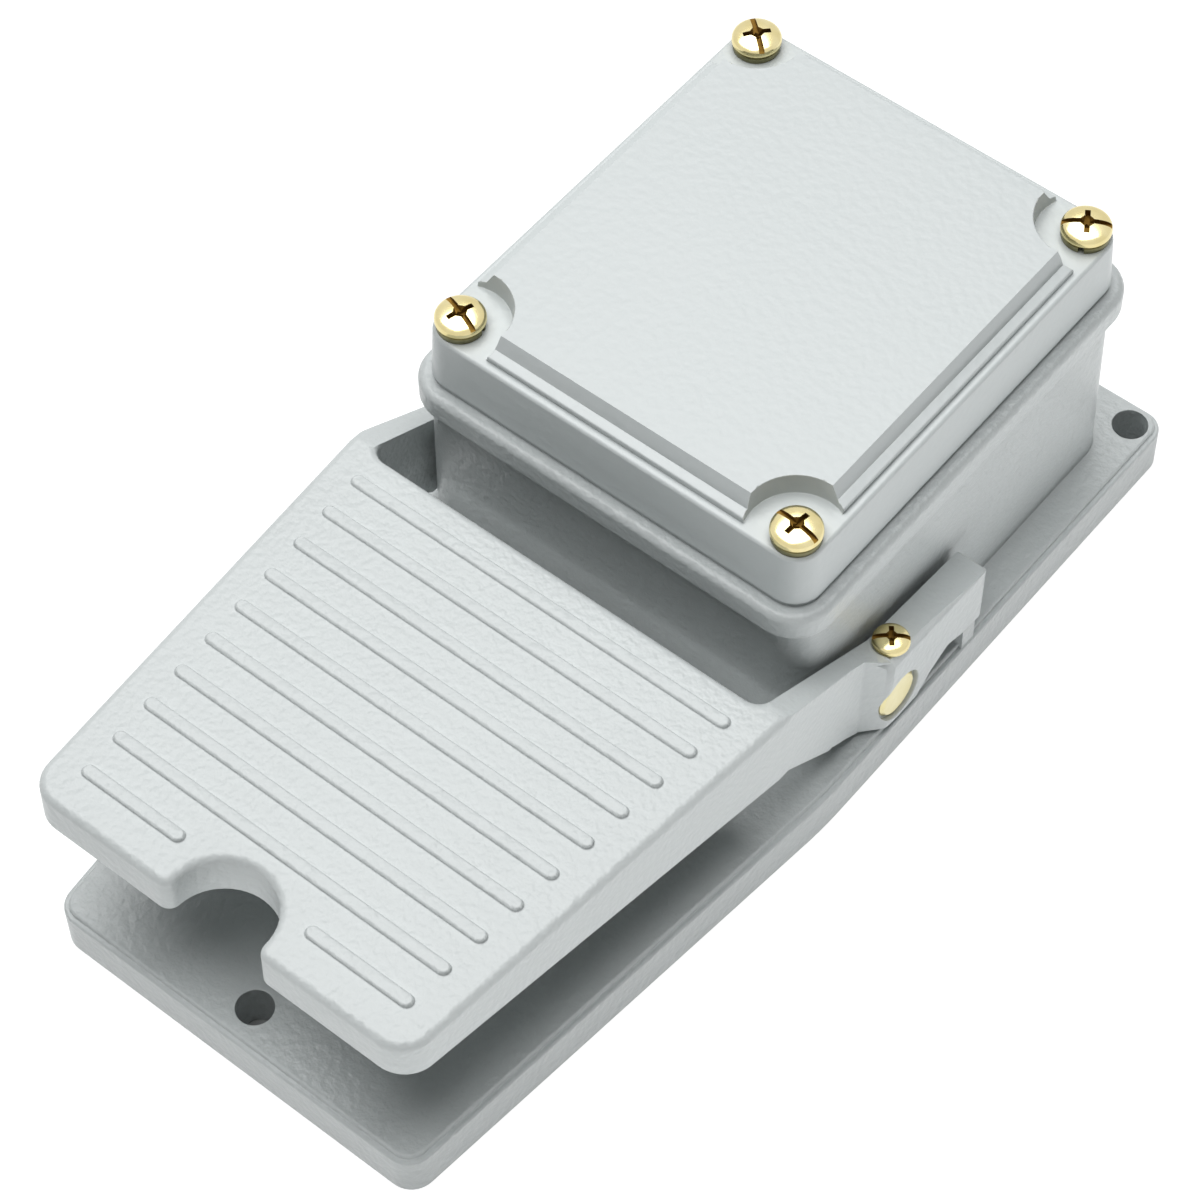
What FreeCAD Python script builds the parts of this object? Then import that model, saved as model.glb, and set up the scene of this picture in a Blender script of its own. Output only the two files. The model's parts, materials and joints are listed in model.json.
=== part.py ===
import FreeCAD, Part
import math
import os

# Heavy industrial foot switch: a die-cast base with a switch box at its rear, and a wide pedal whose two arms
# are clamped to a cross shaft that runs through the box. X runs across, -Y points to the toe, +Z points up.
# The origin is on the floor under the middle of the base. All lengths are in millimetres, angles in degrees.

# Base plate
BASE_LENGTH = 216.0
BASE_REAR_WIDTH = 105.0
BASE_TOE_WIDTH = 84.6
BASE_TAPER_BEHIND_PEDAL = 12.0
BASE_THICKNESS = 10.9
BASE_TOE_RADIUS = 5.0
BASE_REAR_RADIUS = 4.5
BASE_TAPER_RADIUS = 90.0
BASE_STEP = 1.0
BASE_EDGE_ROUND = 0.5
MOUNT_HOLE_DIAMETER = 7.0
TOE_HOLE_FROM_EDGE = 7.2
REAR_HOLE_FROM_EDGES = 5.4
MOUNT_BOSS_WALL = 3.0

# Ribbed hollows under the front of the base plate
UNDERSIDE_RIM = 5.0
UNDERSIDE_RIB = 2.6
UNDERSIDE_SKIN = 4.4
UNDERSIDE_COLUMNS = 4
UNDERSIDE_ROWS = 5
UNDERSIDE_REAR_FROM_BOX = 53.7
UNDERSIDE_CORNER_RADIUS = 1.0

# Switch box: every outline is the cover screws' rectangle, widened by a margin on all sides
BOX_CENTRE_FROM_REAR = 60.3
COVER_SCREW_FROM_ARM = 7.6
COVER_SCREW_PITCH_Y = 86.8
CASING_FOOT_MARGIN = 6.8
CASING_TOP_MARGIN = 6.1
CASING_WALL = 3.5
CASING_FLOOR = 5.0
FLANGE_MARGIN = 8.5
FLANGE_THICKNESS = 6.5
FLANGE_TOP_Z = 58.1
FLANGE_ROUND = 1.5
SCREW_COLUMN_RADIUS = 4.8

# Cover
GASKET_THICKNESS = 1.0
GASKET_SET_BACK = 0.3
GASKET_EAR_RADIUS = 5.6
COVER_FOOT_MARGIN = 5.84
COVER_RIM_MARGIN = 5.13
COVER_SKIRT_HEIGHT = 12.1
COVER_WALL = 3.0
COVER_EDGE_ROUND = 0.8
COVER_LEDGE_WIDTH = 1.65
COVER_STEP_HEIGHT = 1.2
COVER_BAND_WIDTH = 1.65
COVER_BAND_RISE = 0.5
COVER_BEVEL_WIDTH = 1.6
COVER_BEVEL_RISE = 2.9
SCREW_RECESS_RADIUS = 9.5
SCREW_RECESS_FLARE = 0.35
COVER_COLUMN_RADIUS = 6.2

# Cover screws, M5 with pan heads on split washers
COVER_SCREW_DIAMETER = 5.0
COVER_SCREW_HEAD_DIAMETER = 9.6
COVER_SCREW_HEAD_HEIGHT = 2.8
COVER_SCREW_LENGTH = 25.0
COVER_SCREW_CLEARANCE = 0.25
THREAD_CLEARANCE = 0.05
SPRING_WASHER_THICKNESS = 1.2
SPRING_WASHER_DIAMETER = 9.2
SPRING_WASHER_GAP = 0.8
SLOT_WIDTH = 1.1
SLOT_DEPTH = 1.3
CROSS_LENGTH = 4.4
THREAD_RUNOUT = 2.0
HEAD_FLAT_SHARE = 0.7
HEAD_RIM_SHARE = 0.55

# Pivot
PIVOT_FROM_BOX_CENTRE = 28.4
PIVOT_Z = 17.9
SHAFT_DIAMETER = 10.0
SHAFT_END_INSET = 0.5
SHAFT_CHAMFER = 0.6
SHAFT_CLEARANCE = 0.03
PEDAL_TILT = 1.75
PEDAL_TRAVEL = 8.0
RUNNING_GAP = 0.3

# Shaft bearings in the casing walls
BUSH_WALL = 1.8
BUSH_LENGTH = 5.0
BEARING_BOSS_WALL = 2.5
BEARING_BOSS_DEPTH = 4.5
SEAL_LENGTH = 2.4
SEAL_INSET = 0.4
PRESS_CLEARANCE = 0.02

# Pedal, drawn level: it is turned up by the tilt at the end
PEDAL_TOP_Z = 46.1
PEDAL_TOE_INSET = 0.1
PEDAL_REAR_REACH = 34.5
PEDAL_TOE_OVERHANG = 0.7
PEDAL_SIDE_INSET = 2.2
PEDAL_TOE_RADIUS = 6.5
PEDAL_PLATE = 3.0
PEDAL_SKIRT = 3.0
PEDAL_TOP_ROUND = 1.6
PEDAL_TOE_DEPTH = 8.6
PEDAL_REAR_DEPTH = 18.3
PEDAL_STIFFENER = 2.4
PEDAL_CELLS_ACROSS = 5
PEDAL_CELL_RADIUS = 2.0
PEDAL_OPENING_RADIUS = 3.5
NOTCH_RADIUS = 10.0
NOTCH_DEPTH = 12.5
NOTCH_MOUTH_RADIUS = 2.4
NOTCH_WALL = 2.6
NOTCH_WALL_MOUTH_RADIUS = 0.5
NOTCH_STRAIGHT = 0.1

# Tread ribs on the pedal
TREAD_COUNT = 10
TREAD_REAR_MARGIN = 6.9
TREAD_TOE_MARGIN = 8.7
TREAD_WIDTH = 2.6
TREAD_HEIGHT = 0.9
TREAD_SIDE_MARGIN = 6.4
TREAD_NOTCH_GAP = 4.0
TREAD_END_SHARE = 0.99
TREAD_TOP_CHAMFER = 0.5

# Pedal arms
ARM_SIDE_INSET = 0.1
ARM_THICKNESS = 7.0
ARM_WAIST_DEPTH = 3.4
ARM_WAIST_FRONT_REACH = 11.7
ARM_WAIST_REAR_REACH = 8.3
ARM_BOSS_REACH = 4.0
ARM_WAIST_RADIUS = 4.0
ARM_WAIST_END_RADIUS = 1.0
ARM_BOSS_RADIUS = 3.0
ARM_CORNER_RADIUS = 1.2
ARM_REAR_REACH = 26.0
ARM_REAR_TOP_Z = 29.9
ARM_SEAT_Z = 31.5
ARM_SEAT_FRONT_REACH = 2.0
ARM_SEAT_REAR_REACH = 3.2
ARM_TAIL_Z = 16.4
ARM_TAIL_CHAMFER = 1.1
ARM_TAIL_FOOT_REACH = 20.1
ARM_HOLLOW_REACH = 14.8
ARM_HOLLOW_RISE = 1.5
ARM_HAUNCH_REACH = 9.5
ARM_HAUNCH_RISE = 3.8
ARM_BELLY_DEPTH = 6.65
ARM_BELLY_REAR_REACH = 5.8
ARM_BELLY_REAR_RISE = 0.3
ARM_BELLY_FRONT_REACH = 8.4
ARM_BELLY_FRONT_RISE = 0.85
ARM_RAMP_REACH = 16.6
ARM_RAMP_RISE = 5.8
ARM_LEDGE_LENGTH = 1.2
ARM_LEDGE_RISE = 0.1
SKIRT_CORNER_FROM_REAR = 2.6
ARM_TOP_BEND_RADIUS = 3.0
ARM_TAIL_TOP_RADIUS = 0.8
ARM_TAIL_FOOT_RADIUS = 2.0
ARM_HOLLOW_RADIUS = 1.5
ARM_HAUNCH_RADIUS = 4.0
ARM_BELLY_RADIUS = 1.0
ARM_BELLY_FRONT_RADIUS = 0.6
ARM_RAMP_RADIUS = 0.5
SKIRT_CORNER_RADIUS = 3.0
ARM_BEVEL_WIDTH = 1.2
ARM_BEVEL_HEIGHT = 1.6
SHAFT_COUNTERBORE_WALL = 0.5
SHAFT_COUNTERBORE_DEPTH = 1.3

# Screws that lock the arms to the shaft
LOCK_SCREW_DIAMETER = 4.0
LOCK_SCREW_HEAD_DIAMETER = 7.2
LOCK_SCREW_HEAD_HEIGHT = 2.4
LOCK_SCREW_FROM_SIDE = 3.4
LOCK_SCREW_BITE = 2.0
LOCK_SCREW_SPOT_GAP = 0.3

# Stop posts under the arms' tails
STOP_POST_WIDTH = 4.8
STOP_POST_LENGTH = 3.8
STOP_POST_FROM_TAIL = 4.0
STOP_POST_FROM_ARM = 2.0

# Drive lever on the shaft, inside the casing
LEVER_X = 6.0
LEVER_WIDTH = 10.0
LEVER_HUB_WALL = 3.0
LEVER_ARM_ROOT = 4.5
LEVER_REACH = 17.5
LEVER_PAD_RADIUS = 3.0
LEVER_SEAT_ARM = 11.9
LEVER_SEAT_HEIGHT = 8.5
LEVER_SEAT_THICKNESS = 3.0
LEVER_SEAT_LENGTH = 7.6
GRUB_SCREW_DIAMETER = 4.0
GRUB_SCREW_BITE = 1.5

# Return spring between the floor and the lever
SPRING_DIAMETER = 7.0
SPRING_WIRE = 1.2
SPRING_TURNS = 6
SPRING_SEAT_GAP = 0.05
SPRING_RUNS_PER_TURN = 12
SPIGOT_DIAMETER = 4.0
SPIGOT_HEIGHT = 2.5

# Snap-action switch, hung upside down over the lever
SWITCH_LENGTH = 49.2
SWITCH_WIDTH = 17.5
SWITCH_HEIGHT = 24.2
SWITCH_BOTTOM_Z = 25.0
SWITCH_WALL = 2.0
SWITCH_LID = 1.5
SWITCH_CAVITY_HEIGHT = 13.5
SWITCH_HOLE_PITCH = 25.4
SWITCH_HOLE_FROM_TOP = 5.2
SWITCH_CORNER_RADIUS = 1.0
PLUNGER_DIAMETER = 6.0
PLUNGER_COLLAR_DIAMETER = 8.6
PLUNGER_COLLAR = 1.2
PLUNGER_CLEARANCE = 0.05
OVERTRAVEL_SPRING_DIAMETER = 4.6
OVERTRAVEL_SPRING_WIRE = 0.6
OVERTRAVEL_SPRING_TURNS = 4
BLADE_Z = 35.2
BLADE_THICKNESS = 0.4
BLADE_WIDTH = 6.0
BLADE_HINGE_X = -17.5
BLADE_TIP_X = 20.0
CONTACT_DIAMETER = 3.2
CONTACT_THICKNESS = 0.8
CONTACT_TRAVEL = 1.0
CONTACT_GAP = 0.1
TERMINAL_THICKNESS = 1.0
TERMINAL_WIDTH = 7.0
TERMINAL_LUG = 9.0
TERMINAL_SCREW_DIAMETER = 3.0
TERMINAL_SCREW_HEAD_DIAMETER = 6.0
TERMINAL_SCREW_HEAD_HEIGHT = 2.0
SLOT_FIT = 0.1

# Bracket that carries the switch
BRACKET_THICKNESS = 2.5
BRACKET_WIDTH = 42.0
BRACKET_FOOT = 14.0
BRACKET_TOP_MARGIN = 1.5
BRACKET_SCREW_PITCH = 26.0
FLOOR_BOSS_HEIGHT = 4.0
FLOOR_BOSS_RADIUS = 4.5
SMALL_SCREW_DIAMETER = 4.0
SMALL_SCREW_HEAD_DIAMETER = 7.0
SMALL_SCREW_HEAD_HEIGHT = 2.4
SMALL_SCREW_HOLE_CLEARANCE = 0.2
FLOOR_SCREW_LENGTH = 8.0
SWITCH_SCREW_LENGTH = 22.0

# Cable entry in the rear wall
ENTRY_Z = 32.0
ENTRY_THREAD_DIAMETER = 20.0
ENTRY_PAD_RADIUS = 14.5
ENTRY_PAD_BEHIND_SCREWS = 7.8
ENTRY_INNER_PAD = 1.5
GLAND_FLATS = 24.0
GLAND_HEX_LENGTH = 5.0
GLAND_NOSE_LENGTH = 3.6
GLAND_NOSE_DIAMETER = 21.0
GLAND_BORE = 14.0
LOCKNUT_THICKNESS = 3.5
LOCKNUT_FLATS = 25.0
SEAL_BORE = 8.0
SEAL_RING_LENGTH = 7.0

# Earth terminal on the floor of the casing
EARTH_X = -26.0
EARTH_BEHIND_BOX_CENTRE = 26.3
EARTH_WASHER_THICKNESS = 0.8
EARTH_WASHER_DIAMETER = 8.6

X_AXIS = FreeCAD.Vector(1, 0, 0)
Y_AXIS = FreeCAD.Vector(0, 1, 0)
Z_AXIS = FreeCAD.Vector(0, 0, 1)
ORIGIN = FreeCAD.Vector(0, 0, 0)
LEVEL_TOLERANCE = 0.01

# Sizes that follow from the driving ones
BASE_HALF_LENGTH = BASE_LENGTH / 2
BOX_CENTRE_Y = BASE_HALF_LENGTH - BOX_CENTRE_FROM_REAR
PIVOT_Y = BOX_CENTRE_Y - PIVOT_FROM_BOX_CENTRE
PEDAL_TOE_Y = PEDAL_TOE_INSET - BASE_HALF_LENGTH
PEDAL_REAR_Y = PIVOT_Y - PEDAL_REAR_REACH
PEDAL_TOE_WIDTH = BASE_TOE_WIDTH + 2 * PEDAL_TOE_OVERHANG
PEDAL_REAR_WIDTH = BASE_REAR_WIDTH - 2 * PEDAL_SIDE_INSET
TREAD_PITCH = (PEDAL_REAR_Y - TREAD_REAR_MARGIN - PEDAL_TOE_Y - TREAD_TOE_MARGIN) / (TREAD_COUNT - 1)
BASE_TAPER_START_Y = PEDAL_REAR_Y + BASE_TAPER_BEHIND_PEDAL
UNDERSIDE_REAR_Y = BOX_CENTRE_Y - UNDERSIDE_REAR_FROM_BOX
ARM_BOSS_X = BASE_REAR_WIDTH / 2 - ARM_SIDE_INSET
ARM_INNER_X = ARM_BOSS_X - ARM_THICKNESS
ARM_WAIST_X = ARM_BOSS_X - ARM_WAIST_DEPTH
ARM_WAIST_START_Y = PIVOT_Y - ARM_WAIST_FRONT_REACH
ARM_WAIST_END_Y = PIVOT_Y - ARM_WAIST_REAR_REACH
ARM_BOSS_START_Y = PIVOT_Y - ARM_BOSS_REACH
ARM_REAR_Y = PIVOT_Y + ARM_REAR_REACH
ARM_SEAT_START_Y = PIVOT_Y - ARM_SEAT_FRONT_REACH
ARM_SEAT_END_Y = PIVOT_Y + ARM_SEAT_REAR_REACH
LOCK_SCREW_X = ARM_BOSS_X - LOCK_SCREW_FROM_SIDE
STOP_POST_Y = ARM_REAR_Y - STOP_POST_FROM_TAIL
STOP_POST_INNER_X = ARM_INNER_X + STOP_POST_FROM_ARM
COVER_SCREW_PITCH_X = 2 * (ARM_INNER_X - COVER_SCREW_FROM_ARM)
ENTRY_PAD_Y = BOX_CENTRE_Y + COVER_SCREW_PITCH_Y / 2 + ENTRY_PAD_BEHIND_SCREWS
EARTH_Y = BOX_CENTRE_Y + EARTH_BEHIND_BOX_CENTRE
MOUNT_HOLE_RADIUS = MOUNT_HOLE_DIAMETER / 2
TOE_HOLE_Y = TOE_HOLE_FROM_EDGE - BASE_HALF_LENGTH
REAR_HOLE_X = BASE_REAR_WIDTH / 2 - REAR_HOLE_FROM_EDGES
REAR_HOLE_Y = BASE_HALF_LENGTH - REAR_HOLE_FROM_EDGES
FLANGE_BOTTOM_Z = FLANGE_TOP_Z - FLANGE_THICKNESS
COVER_FOOT_Z = FLANGE_TOP_Z + GASKET_THICKNESS
COVER_RIM_Z = COVER_FOOT_Z + COVER_SKIRT_HEIGHT
COVER_BAND_Z = COVER_RIM_Z + COVER_STEP_HEIGHT
COVER_BEVEL_Z = COVER_BAND_Z + COVER_BAND_RISE
COVER_TOP_Z = COVER_BEVEL_Z + COVER_BEVEL_RISE
SHAFT_RADIUS = SHAFT_DIAMETER / 2
BUSH_RADIUS = SHAFT_RADIUS + BUSH_WALL
LEVER_HUB_RADIUS = SHAFT_RADIUS + LEVER_HUB_WALL
PLUNGER_Y = PIVOT_Y + LEVER_REACH * math.cos(math.radians(PEDAL_TRAVEL / 2))
LEVER_PAD_Z = PIVOT_Z - LEVER_REACH * math.sin(math.radians(PEDAL_TRAVEL / 2))
PLUNGER_TIP_Z = LEVER_PAD_Z + LEVER_PAD_RADIUS + RUNNING_GAP
SPRING_Y = PIVOT_Y - LEVER_SEAT_ARM
SPRING_TOP_Z = PIVOT_Z + LEVER_SEAT_HEIGHT
SWITCH_FRONT_Y = PLUNGER_Y - SWITCH_WIDTH / 2
SWITCH_REAR_Y = PLUNGER_Y + SWITCH_WIDTH / 2
SWITCH_TOP_Z = SWITCH_BOTTOM_Z + SWITCH_HEIGHT
SWITCH_HOLE_Z = SWITCH_TOP_Z - SWITCH_HOLE_FROM_TOP
LUG_Z = SWITCH_TOP_Z + 2 * TERMINAL_THICKNESS
CAVITY_BOTTOM_Z = SWITCH_BOTTOM_Z + SWITCH_WALL
CAVITY_TOP_Z = CAVITY_BOTTOM_Z + SWITCH_CAVITY_HEIGHT
FLOOR_BOSS_Z = CASING_FLOOR + FLOOR_BOSS_HEIGHT
BRACKET_SCREW_Y = SWITCH_REAR_Y + BRACKET_THICKNESS + BRACKET_FOOT / 2
COVER_SCREW_POINTS = [
    (side_x * COVER_SCREW_PITCH_X / 2, BOX_CENTRE_Y + side_y * COVER_SCREW_PITCH_Y / 2)
    for side_x in (-1, 1)
    for side_y in (-1, 1)
]


def corner_arc(before, corner, after, radius):
    """Start, middle and end of the arc that rounds a corner between two straight runs."""
    towards_before = (before - corner).normalize()
    towards_after = (after - corner).normalize()
    half_angle = towards_before.getAngle(towards_after) / 2
    bisector = (towards_before + towards_after).normalize()
    setback = radius / math.tan(half_angle)
    centre = corner + bisector * (radius / math.sin(half_angle))
    return (
        corner + towards_before * setback,
        centre - bisector * radius,
        corner + towards_after * setback,
    )


def rounded_wire(corners):
    """Closed wire through (point, radius) corners, with arcs where the radius is not zero."""
    points = [corner[0] for corner in corners]
    edges = []
    last_end = None
    first_start = None
    for index, (point, radius) in enumerate(corners):
        if radius > 0:
            after = points[(index + 1) % len(points)]
            start, middle, end = corner_arc(points[index - 1], point, after, radius)
        else:
            start, middle, end = point, None, point
        if last_end is None:
            first_start = start
        else:
            edges.append(Part.makeLine(last_end, start))
        if middle is not None:
            edges.append(Part.Arc(start, middle, end).toShape())
        last_end = end
    edges.append(Part.makeLine(last_end, first_start))
    return Part.Wire(edges)


def plan_wire(corners, z):
    """Rounded wire in a level plane, from (x, y, radius) corners."""
    return rounded_wire([(FreeCAD.Vector(x, y, z), radius) for x, y, radius in corners])


def plan_prism(corners, z_low, z_high):
    """Upright solid over a rounded plan outline."""
    return Part.Face(plan_wire(corners, z_low)).extrude(Z_AXIS * (z_high - z_low))


def profile_prism(corners, x_low, x_high):
    """Solid with a rounded side profile of (y, z, radius) corners, running across in X."""
    wire = rounded_wire([(FreeCAD.Vector(x_low, y, z), radius) for y, z, radius in corners])
    return Part.Face(wire).extrude(X_AXIS * (x_high - x_low))


def box(x_low, x_high, y_low, y_high, z_low, z_high):
    """Straight block between two corners."""
    return Part.makeBox(
        x_high - x_low,
        y_high - y_low,
        z_high - z_low,
        FreeCAD.Vector(x_low, y_low, z_low),
    )


def post(radius, x, y, z_low, z_high):
    """Upright cylinder."""
    return Part.makeCylinder(radius, z_high - z_low, FreeCAD.Vector(x, y, z_low), Z_AXIS)


def cross_rod(radius, x_low, x_high, y=PIVOT_Y, z=PIVOT_Z):
    """Cylinder along X, on the pivot line unless told otherwise."""
    return Part.makeCylinder(radius, x_high - x_low, FreeCAD.Vector(x_low, y, z), X_AXIS)


def long_rod(radius, x, z, y_low, y_high):
    """Cylinder along Y."""
    return Part.makeCylinder(radius, y_high - y_low, FreeCAD.Vector(x, y_low, z), Y_AXIS)


def mirrored(shape):
    """The shape's twin on the other side of the middle plane."""
    return shape.mirror(ORIGIN, X_AXIS)


def both_sides(shape):
    """The shape and its twin."""
    return [shape, mirrored(shape)]


def fuse_all(shapes):
    """One solid from overlapping shapes, with the seams between flat faces removed."""
    return shapes[0].fuse(shapes[1:]).removeSplitter()


def save(name, solids):
    """Write one node's file from a solid or a list of separate solids."""
    shape = solids if isinstance(solids, Part.Shape) else Part.makeCompound(solids)
    shape.exportStep(os.path.join("parts", name + ".step"))
    print(name, len(shape.Solids), "solid(s)", round(shape.Volume / 1000, 2), "cm3", shape.isValid())


def screw_frame_wire(margin, z, smallest_radius=1.0):
    """Rounded rectangle round the cover screws, widened by a margin and concentric with them."""
    half_x = COVER_SCREW_PITCH_X / 2 + margin
    half_y = COVER_SCREW_PITCH_Y / 2 + margin
    radius = max(margin, smallest_radius)
    corners = [
        (side_x * half_x, BOX_CENTRE_Y + side_y * half_y, radius)
        for side_x, side_y in ((-1, -1), (1, -1), (1, 1), (-1, 1))
    ]
    return plan_wire(corners, z)


def screw_frame_block(margin_low, z_low, margin_high, z_high):
    """Drafted block between two of those rectangles."""
    wires = [screw_frame_wire(margin_low, z_low), screw_frame_wire(margin_high, z_high)]
    return Part.makeLoft(wires, True, True)


def level_edges(block, z):
    """Edges of the block that lie level at height z."""
    rim = []
    for edge in block.Edges:
        bounds = edge.BoundBox
        if abs(bounds.ZMin - z) < LEVEL_TOLERANCE and abs(bounds.ZMax - z) < LEVEL_TOLERANCE:
            rim.append(edge)
    return rim


def rounded_rim(block, radius, z):
    """The block with the edges of its level face at height z rounded."""
    return block.makeFillet(radius, level_edges(block, z))


def chamfered_rim(block, width, z):
    """The block with the edges of its level face at height z chamfered."""
    return block.makeChamfer(width, level_edges(block, z))


def pan_screw(diameter, length, head_diameter, head_height, cross=True):
    """Pan-head screw that points down, with the underside of its head at the origin."""
    head_radius = head_diameter / 2
    outline = [
        FreeCAD.Vector(0, 0, head_height),
        FreeCAD.Vector(head_radius * HEAD_FLAT_SHARE, 0, head_height),
        FreeCAD.Vector(head_radius, 0, head_height * HEAD_RIM_SHARE),
        FreeCAD.Vector(head_radius, 0, 0),
        FreeCAD.Vector(diameter / 2, 0, 0),
        FreeCAD.Vector(diameter / 2, 0, -length),
        FreeCAD.Vector(0, 0, -length),
    ]
    screw = Part.Face(Part.makePolygon(outline + outline[:1])).revolve(ORIGIN, Z_AXIS, 360)
    if not cross:
        return screw
    half_slot = SLOT_WIDTH / 2
    slot_floor = head_height - SLOT_DEPTH
    slot = box(-head_radius, head_radius, -half_slot, half_slot, slot_floor, head_height + 1)
    cross_cut = box(-half_slot, half_slot, -CROSS_LENGTH / 2, CROSS_LENGTH / 2, slot_floor, head_height + 1)
    return screw.cut(slot.fuse(cross_cut))


def placed(shape, x, y, z):
    """Copy of a shape moved to a point."""
    copy = shape.copy()
    copy.translate(FreeCAD.Vector(x, y, z))
    return copy


def helical_spring(outer_diameter, wire_diameter, turns, x, y, z_low, z_high):
    """Upright compression spring between two seats, wound from short straight runs with mitred joints."""
    wire_radius = wire_diameter / 2
    coil_radius = outer_diameter / 2 - wire_radius
    rise = z_high - z_low - wire_diameter
    run_count = turns * SPRING_RUNS_PER_TURN
    points = []
    for index in range(run_count + 1):
        angle = 2 * math.pi * index / SPRING_RUNS_PER_TURN
        height = z_low + wire_radius + rise * index / run_count
        points.append(FreeCAD.Vector(x + coil_radius * math.cos(angle), y + coil_radius * math.sin(angle), height))
    along = (points[1] - points[0]).normalize()
    sideways = along.cross(Z_AXIS).normalize()
    upwards = sideways.cross(along)
    section = []
    for corner in range(6):
        angle = math.radians(60 * corner)
        offset = sideways * (wire_radius * math.cos(angle)) + upwards * (wire_radius * math.sin(angle))
        section.append(points[0] + offset)
    wire = Part.makePolygon(section + section[:1])
    return Part.makePolygon(points).makePipeShell([wire], True, False, 1)


def hexagon_prism(flats, y_low, y_high, x, z):
    """Hexagonal block along Y, with a flat on top."""
    corner_radius = flats / math.sqrt(3)
    points = []
    for corner in range(6):
        angle = math.radians(60 * corner)
        points.append(
            FreeCAD.Vector(x + corner_radius * math.cos(angle), y_low, z + corner_radius * math.sin(angle))
        )
    return Part.Face(Part.makePolygon(points + points[:1])).extrude(Y_AXIS * (y_high - y_low))


# Base and casing


def base_outline(inset):
    """Plan outline of the base plate, moved inwards by an inset."""
    toe_x = BASE_TOE_WIDTH / 2 - inset
    rear_x = BASE_REAR_WIDTH / 2 - inset
    toe_y = inset - BASE_HALF_LENGTH
    rear_y = BASE_HALF_LENGTH - inset
    return [
        (-toe_x, toe_y, BASE_TOE_RADIUS - inset),
        (toe_x, toe_y, BASE_TOE_RADIUS - inset),
        (rear_x, BASE_TAPER_START_Y, BASE_TAPER_RADIUS),
        (rear_x, rear_y, BASE_REAR_RADIUS - inset),
        (-rear_x, rear_y, BASE_REAR_RADIUS - inset),
        (-rear_x, BASE_TAPER_START_Y, BASE_TAPER_RADIUS),
    ]


def base_plate():
    """Plate with a stepped top edge."""
    step_z = BASE_THICKNESS - BASE_STEP
    lower = rounded_rim(plan_prism(base_outline(0), 0, step_z), BASE_EDGE_ROUND, step_z)
    upper = plan_prism(base_outline(BASE_STEP), step_z - BASE_STEP, BASE_THICKNESS)
    upper = rounded_rim(upper, BASE_EDGE_ROUND, BASE_THICKNESS)
    return fuse_all([lower, upper])


def underside_hollows():
    """Grid of pockets under the front of the plate, inside its rim and clear of the toe hole's boss."""
    depth = BASE_THICKNESS - UNDERSIDE_SKIN
    inner = plan_prism(
        [
            (x, y, max(radius - UNDERSIDE_RIM, UNDERSIDE_CORNER_RADIUS))
            for x, y, radius in base_outline(UNDERSIDE_RIM)
        ],
        0,
        depth,
    )
    boss = post(MOUNT_HOLE_RADIUS + MOUNT_BOSS_WALL, 0, TOE_HOLE_Y, 0, depth)
    inner = inner.cut(boss)
    half_width = BASE_REAR_WIDTH / 2 - UNDERSIDE_RIM
    front_y = UNDERSIDE_RIM - BASE_HALF_LENGTH
    pitch_x = 2 * half_width / UNDERSIDE_COLUMNS
    pitch_y = (UNDERSIDE_REAR_Y - front_y) / UNDERSIDE_ROWS
    cells = []
    for column in range(UNDERSIDE_COLUMNS):
        for row in range(UNDERSIDE_ROWS):
            x_low = column * pitch_x - half_width
            y_low = front_y + row * pitch_y
            cell = box(
                x_low + UNDERSIDE_RIB / 2,
                x_low + pitch_x - UNDERSIDE_RIB / 2,
                y_low + UNDERSIDE_RIB / 2,
                y_low + pitch_y - UNDERSIDE_RIB / 2,
                -1,
                depth,
            )
            cells.append(cell.common(inner))
    return cells


def casing_margin(z):
    """Margin of the casing's drafted outer wall at a height."""
    share = (z - BASE_THICKNESS) / (FLANGE_BOTTOM_Z - BASE_THICKNESS)
    return CASING_FOOT_MARGIN + (CASING_TOP_MARGIN - CASING_FOOT_MARGIN) * share


def casing_outside():
    """Drafted walls, the flange that carries the cover, and the pad round the cable entry."""
    foot_z = BASE_THICKNESS - BASE_STEP
    walls = screw_frame_block(casing_margin(foot_z), foot_z, casing_margin(FLANGE_BOTTOM_Z), FLANGE_BOTTOM_Z)
    flange = screw_frame_block(FLANGE_MARGIN, FLANGE_BOTTOM_Z, FLANGE_MARGIN, FLANGE_TOP_Z)
    flange = rounded_rim(flange, FLANGE_ROUND, FLANGE_TOP_Z)
    flange = rounded_rim(flange, FLANGE_ROUND, FLANGE_BOTTOM_Z)
    pad = long_rod(ENTRY_PAD_RADIUS, 0, ENTRY_Z, BOX_CENTRE_Y + COVER_SCREW_PITCH_Y / 2, ENTRY_PAD_Y)
    return [walls, flange, pad]


def entry_wall_inner_y():
    """Inner face of the rear wall's thickened pad at the cable entry."""
    rear_wall_y = BOX_CENTRE_Y + COVER_SCREW_PITCH_Y / 2 + casing_margin(ENTRY_Z + ENTRY_PAD_RADIUS)
    return rear_wall_y - CASING_WALL - ENTRY_INNER_PAD


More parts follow.
